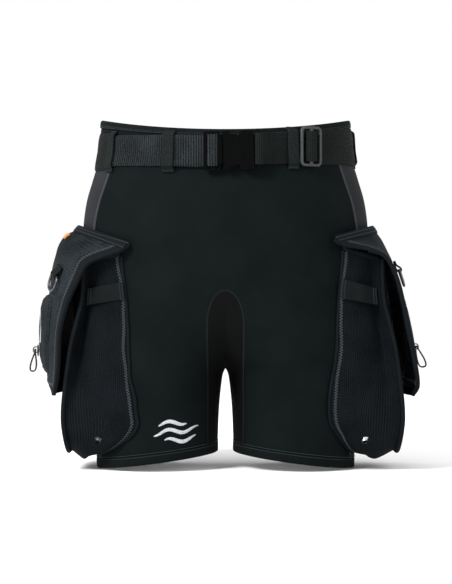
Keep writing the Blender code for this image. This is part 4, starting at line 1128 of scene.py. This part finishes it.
def make_belt_loops():
    """Sewn straps that hold the belt to the waistband, with a bar tack at each foot."""
    reach, half = WEBBING_WIDTH / 2, LOOP_WIDTH / 2
    across = np.array([-1, -0.95, -0.8, -0.4, 0, 0.4, 0.8, 0.95, 1]) * half
    face = np.array([0.3, 0.65, 0.8, 0.85, 0.85, 0.85, 0.8, 0.65, 0.3])
    turns = np.degrees(np.concatenate([across, across[::-1]]) / WAIST_TURN_RADIUS)
    lift = np.concatenate([face, -face[::-1]])
    for name, angle, clearance in (("front_right", waist_angle(-66), DOUBLE_LOOP_CLEARANCE),
                                   ("back", 90, LOOP_CLEARANCE),
                                   ("front_left", waist_angle(79), LOOP_CLEARANCE),
                                   ("side_right", -150, LOOP_CLEARANCE),
                                   ("side_left", 8, LOOP_CLEARANCE)):
        far, near = clearance + LOOP_THICKNESS / 2, BELT_OFFSET + LOOP_THICKNESS / 2
        line, out = routed_line([(near, reach + 6), (near, reach + 3.4), (far - 0.6, reach + 1.0),
                                 (far, reach - 3), (far + 0.4, 0), (far, 3 - reach),
                                 (far - 0.8, -reach - 0.8), (near + 0.4, -reach - 3.4),
                                 (near, -reach - 7)], 0.9)
        spot = line[:, None] - out[:, None] * lift[None, :, None]
        centre = belt_centre(angle)
        sections = belt_point(angle + turns[None], spot[..., 0], centre + spot[..., 2])
        make_piece("loop_" + name, [tube(sections)], "webbing", nodes=["belt_loop_" + name],
                   finish="loop_webbing")
        tacks = []
        for height in (reach + 4.6, -reach - 5.2):
            around = angle + np.degrees(np.linspace(2 - half, half - 2, 24) / WAIST_TURN_RADIUS)
            row = belt_point(around, BELT_OFFSET + LOOP_THICKNESS + 0.2, centre + height)
            tacks += zigzag(row, shell_normal(around, centre + height), 2.6, 0.9, 0.3, 0.15)
        make_piece("loop_tacks_" + name, tacks, "thread_dark")


def bevel_node(name, slot, width=0.7, segments=3):
    """Give a moulded CAD node rounded edges and its slot's material."""
    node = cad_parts[name]
    weld = node.modifiers.new("weld", "WELD")
    weld.merge_threshold = 2e-6
    bevel = node.modifiers.new("bevel", "BEVEL")
    bevel.width = width * MM
    bevel.segments = segments
    bevel.angle_limit = math.radians(28)
    bevel.limit_method = "ANGLE"
    bevel.harden_normals = False
    node.data.materials.clear()
    node.data.materials.append(bpy.data.materials[slot])


def make_buckle():
    """The buckle keeps its CAD shape with moulded edges; the tri-glide is a smoother new frame."""
    for name, width in (("buckle_body", 0.4), ("buckle_plug", 0.5), ("prong_upper", 0.3),
                        ("prong_lower", 0.3)):
        bevel_node(name, "plastic", width)
    outline = []
    for x, z, start in ((1, 1, 0), (-1, 1, 90), (-1, -1, 180), (1, -1, 270)):
        turns = np.radians(np.linspace(start, start + 90, 9))
        middle = [x * (TRIGLIDE_HALF_WIDTH - TRIGLIDE_CORNER), z * (TRIGLIDE_HALF_HEIGHT - TRIGLIDE_CORNER)]
        outline.append(middle + TRIGLIDE_CORNER * stack(np.cos(turns), np.sin(turns)))
    outline = np.concatenate(outline)
    outward = unit(outline - np.roll(outline, 1, 0)) + unit(np.roll(outline, -1, 0) - outline)
    outward = unit(np.stack([outward[:, 1], -outward[:, 0]], -1))
    middle = TRIGLIDE_STANDOFF + 1.8
    section = squared_circle(16, 0.6) * [1.75, 1.8]
    spot = outline[:, None] + outward[:, None] * section[None, :, :1]
    frame_part = tube(triglide_place(spot[..., 0], middle + section[None, :, 1], spot[..., 1]), closed=True)
    bar = section * [1.4, 0.85]
    heights = np.linspace(-21.5, 21.5, 20)[:, None]
    bar_part = tube(triglide_place(bar[None, :, 0], middle + bar[None, :, 1], heights))
    make_piece("triglide_frame", [frame_part, bar_part], "triglide_plastic", "triglide", ["triglide"])


# ---------------------------------------------------------------- leg pockets
def side_piece(name, side, parts, slot, nodes=(), body="shorts", finish=None):
    """A piece of one side, named after it and standing for that side's CAD nodes."""
    return make_piece(name + "_" + side, parts, slot, body, [node + "_" + side for node in nodes], finish)


def gusset_line(t, w, side, lift=0.0):
    """Points off the folded gusset and its outward normals there."""
    along = gusset_point(t + 0.003, w, side) - gusset_point(t - 0.003, w, side)
    across = gusset_point(t, w + 0.01, side) - gusset_point(t, w - 0.01, side)
    return gusset_point(t, w, side, lift), unit(np.cross(along, across) * -SIDES[side])


def make_gussets(side):
    """The pocket's folded bellows, its bound mouth and the bound seam along the thigh."""
    steps, across = np.linspace(0, 1, 200)[:, None], np.linspace(0, 1, 34)[None]
    side_piece("bellows", side, [cloth(gusset_point, steps, across, side, 0.0, -GUSSET_THICKNESS)],
               "pocket_cloth", ["pocket_gusset"])
    t = np.linspace(0.004, 0.996, 160)
    line, normals = gusset_line(t, 0.02, side, 0.2)
    parts = [sweep(line, *frames_of(line, normals), round_section(2.2, 12))]
    for end in (0.0, 1.0):
        line = gusset_point(end, np.linspace(0, 1, 40), side, -GUSSET_THICKNESS / 2)
        up = np.broadcast_to([0, 0, 1.0], line.shape)
        across_line = unit(np.cross(unit(np.gradient(line, axis=0)), up))
        parts.append(sweep(line, across_line, up, round_section(2.3, 12, 1.5)))
    side_piece("bellows_binding", side, parts, "binding")
    side_piece("bellows_stitches", side, zigzag(*gusset_line(t, 0.13, side, 0.2), 4.4, 3.4, 0.45, 0.15),
               "thread_grey")


def make_panels(side):
    """Outer panel, the piping round it and the loop patch under the flap."""
    def slack(u, v):
        return 0.9 * np.sin(v * 19 + u * 2) * (1 - u ** 2)

    v = np.concatenate([np.linspace(0, 0.06, 8)[:-1], np.linspace(0.06, 1, 50)])[:, None]
    u = np.linspace(-1, 1, 44)[None]
    lift = slack(u, v) * np.minimum(1, 6 * v)
    side_piece("outer_panel", side, [cloth(panel_point, u, v, side, lift, lift - GUSSET_THICKNESS)],
               "pocket_cloth", ["pocket_panel"])
    y, height, lean = pocket_path(np.linspace(0, 1, 220))
    out = stack(0, lean[:, 0], lean[:, 1])
    centre = stack(SIDES[side] * piping_x(height, side), y, height) + out * 1.4
    across, out = frames_of(centre, out)
    cover = sweep(centre, across, out, round_section(2.7, 14))
    tape = sweep(centre - out * 3.2, across, out, flat_section(6.0, 1.2, 0.3))
    side_piece("piping", side, [cover, tape], "binding", ["pocket_piping"])
    stitches = zigzag(centre - out * 5.6, across * SIDES[side], 3.4, 3.2, 0.4, 0.4)
    side_piece("piping_stitches", side, stitches, "thread_grey")
    u, v = span_grid((-0.55, 0.55), (0.38, 0.54), 30, 10)
    edge = np.minimum(np.minimum(0.55 - abs(u), (v - 0.38) * 3), (0.54 - v) * 3)
    lift = np.interp(edge, [0, 0.02, 0.05], [0.3, 1.4, 1.6])
    patch = cloth(panel_point, u, v, side, slack(u, v) + lift + 0.3, slack(u, v) + 0.15)
    side_piece("pile_patch", side, [patch], "hook_and_loop", ["loop_patch"])


def make_strap(side):
    """Compression strap drawn straight across the folded bellows, tacked down at both ends."""
    share = np.linspace(0, 1, 60)[:, None]
    heights = np.array([-1, -0.97, -0.9, -0.5, 0, 0.5, 0.9, 0.97, 1]) * STRAP_WIDTH / 2
    t = (POCKET_TOP - STRAP_HEIGHT - heights)[None] / POCKET_PATH
    near, far = [gusset_point(t + slope / POCKET_PATH, w, side, lift)
                 for slope, w, lift in ((0, 0.15, 1.6), (STRAP_SLOPE, 0.9, 1.4))]
    face = near * (1 - share[..., None]) + far * share[..., None]
    bow = 3.4 * np.sin(np.pi * share) + 0.5 * np.sin(np.pi * share * 4)
    edge = np.array([0.5, 0.15, 0, 0, 0, 0, 0, 0.15, 0.5])[None]
    front, back = face - stack(0, bow - edge + WEBBING_THICKNESS, 0), face - stack(0, bow + edge, 0)
    sections = np.concatenate([front, back[:, ::-1]], 1)
    side_piece("strap", side, [tube(sections)], "webbing_fine", ["pocket_strap"], finish="strap_cloth")
    threads = []
    for place in (0.03, 0.09, 0.91, 0.97):
        line = front[int(place * 59), 1:-1]
        threads += zigzag(line, np.broadcast_to([0, -1.0, 0], line.shape), 2.0, 1.0, 0.32, 0.1)
    side_piece("strap_tacks", side, threads, "thread_dark")


def make_eyelet(side):
    """Plated drain eyelet, rolled over its washer."""
    centre, out = gusset_line(EYELET_T, 0.5, side)
    along = unit(gusset_point(EYELET_T + 0.01, 0.5, side) - centre)
    across = unit(np.cross(out, along))
    turns = np.linspace(0, 2 * math.pi, 48, endpoint=False)[:, None]
    lean = np.cos(turns) * along + np.sin(turns) * across
    profile = np.array([(3.0, -1.2), (2.9, 1.6), (3.2, 2.3), (3.9, 2.7), (4.8, 2.5), (5.6, 1.8), (6.4, 1.5),
                        (6.6, 1.0), (6.4, 0.5), (4.0, 0.3)])
    sections = centre + lean[:, None] * profile[None, :, :1] + out * profile[None, :, 1:]
    side_piece("eyelet", side, [tube(sections, closed=True)], "steel", ["drain_grommet"],
               finish="dark_steel" if side == "right" else None)


# ---------------------------------------------------------------- flaps
def flap_piece(name, side, parts, slot, nodes=()):
    """A piece that crosses the flap's fold, its transform baked into its mesh and riding no body."""
    piece = make_piece(name + "_" + side, parts, slot, body=None)
    along = FOLD_LINE * [SIDES[side], 1, 1]
    start, end = [list(to_frame(FOLD_TOP * [SIDES[side], 1, 1] + along * reach)) for reach in FLAP_BEND]
    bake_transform(piece)
    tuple(start)
    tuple(end)
    if nodes:
        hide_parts(*[node + "_" + side for node in nodes])


def flap_sag(u, v):
    """Slight puckers of the flap."""
    return 0.5 * np.sin(8 * v + 3 * u) * np.cos(5 * u) + 0.35 * np.sin(21 * v - 6 * u)


def flap_edge_line(inset=0.0):
    """u and v along the flap's free edges, from the front top round to the rear top."""
    straight = 1 - FLAP_CORNER
    down = np.linspace(0.02, straight, 90)
    turn = np.linspace(0, math.pi / 2, 14)[1:-1]
    corner_u, corner_v = straight + FLAP_CORNER * np.cos(turn), straight + FLAP_CORNER * np.sin(turn)
    u = np.concatenate([-np.ones(90), -corner_u, np.linspace(-straight, straight, 80), corner_u[::-1],
                        np.ones(90)])
    v = np.concatenate([down, corner_v, np.ones(80), corner_v[::-1], down[::-1]])
    return u * (1 - inset), np.minimum(v, 1 - inset * 0.75)


def sagged_point(u, v, side, lift=0.0):
    """Points a distance outside the puckered flap."""
    return flap_point(u, v, side, 0.6 * flap_sag(u, v) + lift)


def make_flap(side):
    """The flap from its seam on the thigh to its free edge, as one sheet that bends at the fold."""
    half = FLAP_THICKNESS / 2
    u, v = span_grid((-1, 1), (0.008, 1), 60, 120)
    corner = np.clip((v - 1 + FLAP_CORNER) / FLAP_CORNER, 0, 1)
    u = u * (1 - FLAP_CORNER + FLAP_CORNER * np.sqrt(1 - corner ** 2) - 0.02)
    grids = [flap_point(u, np.minimum(v, 0.985), side, flap_sag(u, v) * 0.6 + lift)
             for lift in (half, -half)]
    flap_piece("flap", side, [sheet(*grids)], "flap_cloth", ["flap_yoke", "flap_panel"])

    low, high = [sagged_point(*flap_edge_line(), side, lift) for lift in (-half - 0.45, half + 0.45)]
    under, over = [sagged_point(*flap_edge_line(0.065), side, lift) for lift in (-half - 0.1, half + 0.1)]
    rim = (high + low) / 2
    outwards = unit(rim - (under + over) / 2)
    upper, lower = [[near, near * 0.9 + edge * 0.1 + (edge - other) * puff,
                     near * 0.5 + edge * 0.5 + (edge - other) * 0.06, edge,
                     edge * 0.8 + rim * 0.2 + outwards * 0.5]
                    for near, edge, other, puff in ((over, high, low, 0.08), (under, low, high, 0.10))]
    section = [*upper, rim + outwards * 0.9, *lower[::-1]]
    flap_piece("flap_edge", side, [tube(np.stack(section, 1))], "binding", ["flap_binding"])

    threads = []
    for lift in (half + 0.2, -half - 0.2):
        u, v = flap_edge_line(0.085)
        threads += zigzag(sagged_point(u, v, side, lift), flap_normal(u, v, side), 4.4, 3.4, 0.45, 0.1)
    flap_piece("flap_stitches", side, threads, "thread_grey")

    u = np.linspace(-0.99, 0.99, 120)
    tape, normals = flap_line(u, 0.03, side, half + 0.35)
    section = flat_section(11.0, 1.1, 0.3, 11)
    flap_piece("flap_seam_tape", side, [sweep(tape, *frames_of(tape, normals), section)], "binding")
    rows = []
    for place in (0.016, 0.044):
        rows += stitch_run(*flap_line(u, place, side, half + 1.5), 3.2, 0.66, 0.42)
    flap_piece("flap_seam_stitches", side, rows, "thread_grey")


def make_pouch(side):
    """Zipped pouch on the flap with its stitches, reflective strip, hook patch and pull tab."""
    body, skin = "flap_" + side, FLAP_THICKNESS / 2
    start, end = POUCH_SPAN
    u, v = span_grid((-POUCH_HALF_SPAN, POUCH_HALF_SPAN), POUCH_SPAN, 50, 60)
    rim = np.minimum(np.minimum(v - start, end - v) / 0.02, (POUCH_HALF_SPAN - np.abs(u)) / 0.03)
    drop = 1.2 * (1 - np.sqrt(np.clip(rim, 0, 1)))
    crease = pouch_crease(u, v) * np.clip(rim / 4, 0, 1)
    pouch = sheet(pouch_point(u, v, side, crease - drop), flap_point(u, v, side, skin + 0.3))
    side_piece("pouch", side, [pouch], "flap_cloth", ["flap_pouch"], body)

    threads = []
    line_v = zip_line()[::4]
    for place in (-0.9 * ZIP_HALF_TAPE, 0.9 * ZIP_HALF_TAPE):
        line = creased_point(place, line_v, side, 1.35)
        threads += stitch_run(line, flap_normal(place, line_v, side), 2.6, 0.66, 0.28)
    across, down = np.linspace(-0.56, 0.56, 50), np.linspace(start + 0.025, end - 0.025, 40)
    u = np.concatenate([across, np.full(40, 0.56), across[::-1], np.full(40, -0.56)])
    v = np.concatenate([np.full(50, down[0]), down, np.full(50, down[-1]), down[::-1]])
    line = pouch_point(u, v, side, pouch_crease(u, v) * 0.6 + 0.3)
    threads += stitch_run(line, flap_normal(u, v, side), 3.0, 0.68, 0.3)
    side_piece("pouch_stitches", side, threads, "thread_dark", (), body)

    grid = span_grid((-0.22, -0.15), (0.58, 0.76), 7, 30)
    side_piece("bright_strip", side, [cloth(creased_point, *grid, side, 1.0, 0.25)], "reflective",
               ["reflective_strip"], body)
    grid = span_grid((-0.5, 0.5), (0.7, 0.84), 24, 10)
    side_piece("hook_tape", side, [cloth(flap_point, *grid, side, -skin - 0.4, -skin - 2.2)],
               "hook_and_loop", ["hook_patch"], body)
    if side == "right":
        grid = span_grid((-0.33, -0.24), (0.103, 0.138), 8, 8)
        make_piece("orange_pull_tab", [cloth(sagged_point, *grid, side, skin + 1.9, skin + 0.3)],
                   "orange_tape", body, ["orange_tab"])


def zip_line():
    """v down the row of zip teeth."""
    return np.linspace(ZIP_SPAN[0] + 0.01, ZIP_SPAN[1] - 0.01, 400)


def make_zip(side):
    """Zip tape and the teeth down its middle."""
    body = "flap_" + side
    grid = span_grid((-ZIP_HALF_TAPE, ZIP_HALF_TAPE), ZIP_SPAN, 9, 60)
    side_piece("zip_cloth", side, [cloth(creased_point, *grid, side, 1.25, 0.25)], "zip_tape",
               ["zip_tape"], body)
    line_v = zip_line()
    centre, out = creased_point(0, line_v, side, 1.3), flap_normal(0, line_v, side)
    across = unit(pouch_point(0.02, line_v, side) - pouch_point(-0.02, line_v, side))
    along = lengths_along(centre)
    section = np.array([(-0.42, 0), (-0.42, 0.9), (0.42, 0.9), (0.42, 0)])
    size = np.array([0.6, 1, 1, 0.6])[:, None, None]
    teeth = []
    for index, at in enumerate(np.arange(1.5, along[-1] - 1.5, 0.95)):
        pick = int(np.searchsorted(along, at))
        reach = np.array([-1.7, -1.5, 1.5, 1.7]) + (1.1 if index % 2 else -1.1)
        line = centre[pick] + across[pick] * reach[:, None]
        run = unit(centre[min(pick + 1, len(centre) - 1)] - centre[pick - 1])
        tooth = (run * section[None, :, :1] + out[pick] * section[None, :, 1:]) * size
        teeth.append(tube(line[:, None] + tooth))
    side_piece("zip_teeth", side, teeth, "plastic", (), body)


def flap_frame(u, v, side, lift):
    """Place function on the flap: along it, outwards and up it, from a point of its surface."""
    origin = pouch_point(u, v, side) if lift else flap_point(u, v, side, FLAP_THICKNESS / 2)
    out = flap_normal(u, v, side)
    along = unit(flap_point(u + 0.02, v, side) - flap_point(u - 0.02, v, side))
    up = np.cross(out, along) * SIDES[side]

    def place(points):
        points = np.asarray(points, float)
        return (origin + points[..., :1] * along + points[..., 1:2] * out + points[..., 2:] * up)
    return place


def loop_tube(place, path, radius):
    """A closed ring of round wire or cord along (x, depth, z) points, its corners rounded."""
    line = np.array(path, float)
    for _ in range(3):
        following = np.roll(line, -1, 0)
        cut = np.stack([line * 0.75 + following * 0.25, line * 0.25 + following * 0.75], 1)
        line = cut.reshape(-1, 3)
    out = np.broadcast_to([0, 1.0, 0], line.shape)
    across = unit(np.cross(unit(np.roll(line, -1, 0) - np.roll(line, 1, 0)), out))
    return tube(place(carry(line, across, out, round_section(radius, 12))), closed=True)


def bent_strip(place, route, section):
    """A strip of one cross-section bent along a line that lies square to the flap."""
    ahead = unit(np.gradient(route, axis=0))
    sideways = np.broadcast_to([1.0, 0, 0], route.shape)
    points, faces, uvs = sweep(route, sideways, unit(np.cross(sideways, ahead)), section)
    return place(points), faces, uvs


def make_slider(side):
    """Zip slider and its cord loop."""
    place, seat = flap_frame(0, SLIDER_V, side, True), 2.9
    heights = np.array([-7.0, -6.6, -5, -1, 2.5, 5, 6.6, 7.0])[:, None]
    widths = np.array([3.0, 3.5, 4.1, 4.0, 4.5, 4.6, 4.2, 3.4])[:, None]
    across, outwards = squared_circle(24, 0.5).T
    sections = stack(widths * across, seat + 1.3 + (1.3 - 0.096 * np.abs(heights)) * outwards, heights)
    arch = rounded([(0, seat + 2.0, -2.6), (0, seat + 7.0, -2.4), (0, seat + 7.4, 1), (0, seat + 6.4, 4.2),
                    (0, seat + 2.2, 4.6)], 3)
    section = [(-1.5, -0.6), (-1.5, 0.6), (-1.1, 0.8), (1.1, 0.8), (1.5, 0.6), (1.5, -0.6)]
    side_piece("slider", side, [tube(place(sections)), bent_strip(place, arch, section)], "steel",
               ["zip_slider"], "zip_slider_" + side, "ring_steel")
    path = []
    for x, z in ((-4, 1), (4, 1), (5.4, -0.6), (5.4, -8), (5.4, -15), (5.4, -22), (3.4, -26), (-3.4, -26),
                 (-5.4, -22), (-5.4, -15), (-5.4, -8), (-5.4, -0.6)):
        twist = math.radians(52) * min(1.0, max(0.0, -z / 18))
        lean = SIDES[side] * x * math.sin(twist) + 3.6 * min(0, z) / 26
        path.append((x * math.cos(twist), seat + 4.7 - lean, z))
    side_piece("cord_pull", side, [loop_tube(place, path, 1.05)], "cord", ["zip_pull"], "zip_pull_" + side)


def make_ring(side):
    """The ring and the webbing tab that holds it."""
    place = flap_frame(*RING_PLACE, side, False)
    route = resample(rounded([(0, 1.0, 12), (0, 1.0, 3.0), (0, 1.6, 0.6), (0, 3.2, -3.0), (0, 6.0, -3.0),
                              (0, 7.4, 0), (0, 6.0, 3.2), (0, 2.6, 6.4), (0, 2.4, 12)], 3), 0.5)
    section = [(-8, -0.4), (-8, 0.4), (-7.4, 0.65), (7.4, 0.65), (8, 0.4), (8, -0.4), (7.4, -0.65),
               (-7.4, -0.65)]
    side_piece("ring_strap", side, [bent_strip(place, route, section)], "webbing_fine", ["ring_tab"],
               "flap_" + side)
    arc = [(11.5 * math.cos(turn), -11 + 9.5 * math.sin(turn)) for turn in np.linspace(0, -math.pi, 9)]
    path = [(x, 4.3, z) for x, z in [(-11.5, 0), (11.5, 0), *arc]]
    side_piece("loop_ring", side, [loop_tube(place, path, 1.45)], "steel", ["ring"], "ring_" + side,
               "ring_steel")


# ---------------------------------------------------------------- setting
def make_setting():
    """Camera level with the shorts' middle, white floor and world, and soft studio light."""
    camera_data = bpy.data.cameras.new("camera")
    camera_data.sensor_width = LONG_SENSOR
    camera_data.sensor_height = LONG_SENSOR
    camera_data.sensor_fit = "AUTO"
    camera_data.lens = LONG_SENSOR * CAMERA_DISTANCE / FRAME_HEIGHT
    camera = new_object("camera", camera_data)
    camera.location = (CAMERA_X, -CAMERA_DISTANCE, CAMERA_HEIGHT)
    camera.rotation_euler = (math.radians(90), 0, 0)
    bpy.context.scene.camera = camera

    white = Finish("studio_white", 0.9, 0.0)
    shade = white.colours(white.noise(0.6), (0.93, 0.93, 0.93), (0.96, 0.96, 0.96))
    white.finish(shade)
    mesh = bpy.data.meshes.new("floor")
    corners = ((-1, -1), (1, -1), (1, 1), (-1, 1))
    mesh.from_pydata([(x * FLOOR_REACH, y * FLOOR_REACH, -WAIST_HEIGHT * MM - FLOOR_GAP)
                      for x, y in corners], [], [(0, 1, 2, 3)])
    mesh.materials.append(white.material)
    new_object("floor", mesh)

    world = bpy.data.worlds.new("studio")
    world.use_nodes = True
    background = world.node_tree.nodes["Background"].inputs
    background["Color"].default_value = (1, 1, 1, 1)
    background["Strength"].default_value = 1.0
    bpy.context.scene.world = world
    for name, power, size, place in (("key", 120.0, 0.9, (-1.6, -1.8, 1.4)),
                                     ("fill", 16.0, 1.2, (1.8, -1.8, 0.6)),
                                     ("top", 6.0, 1.2, (0.0, 0.3, 2.2))):
        light_data = bpy.data.lights.new(name, "AREA")
        light_data.energy = power
        light_data.size = size
        light = new_object(name, light_data)
        light.location = place
        light.rotation_euler = (LIT_POINT - Vector(place)).to_track_quat("-Z", "Y").to_euler()
    bpy.context.scene.view_settings.view_transform = "Standard"


def main():
    """Make every material and piece."""
    make_materials()
    make_front_and_back()
    make_side_panels()
    make_gusset()
    make_arch_seams()
    make_waist()
    make_hems()
    make_waves()
    make_webbing()
    make_belt_loops()
    make_buckle()
    for side in SIDES:
        make_gussets(side)
        make_panels(side)
        make_strap(side)
        make_eyelet(side)
        make_flap(side)
        make_pouch(side)
        make_zip(side)
        make_slider(side)
        make_ring(side)
    make_setting()


main()
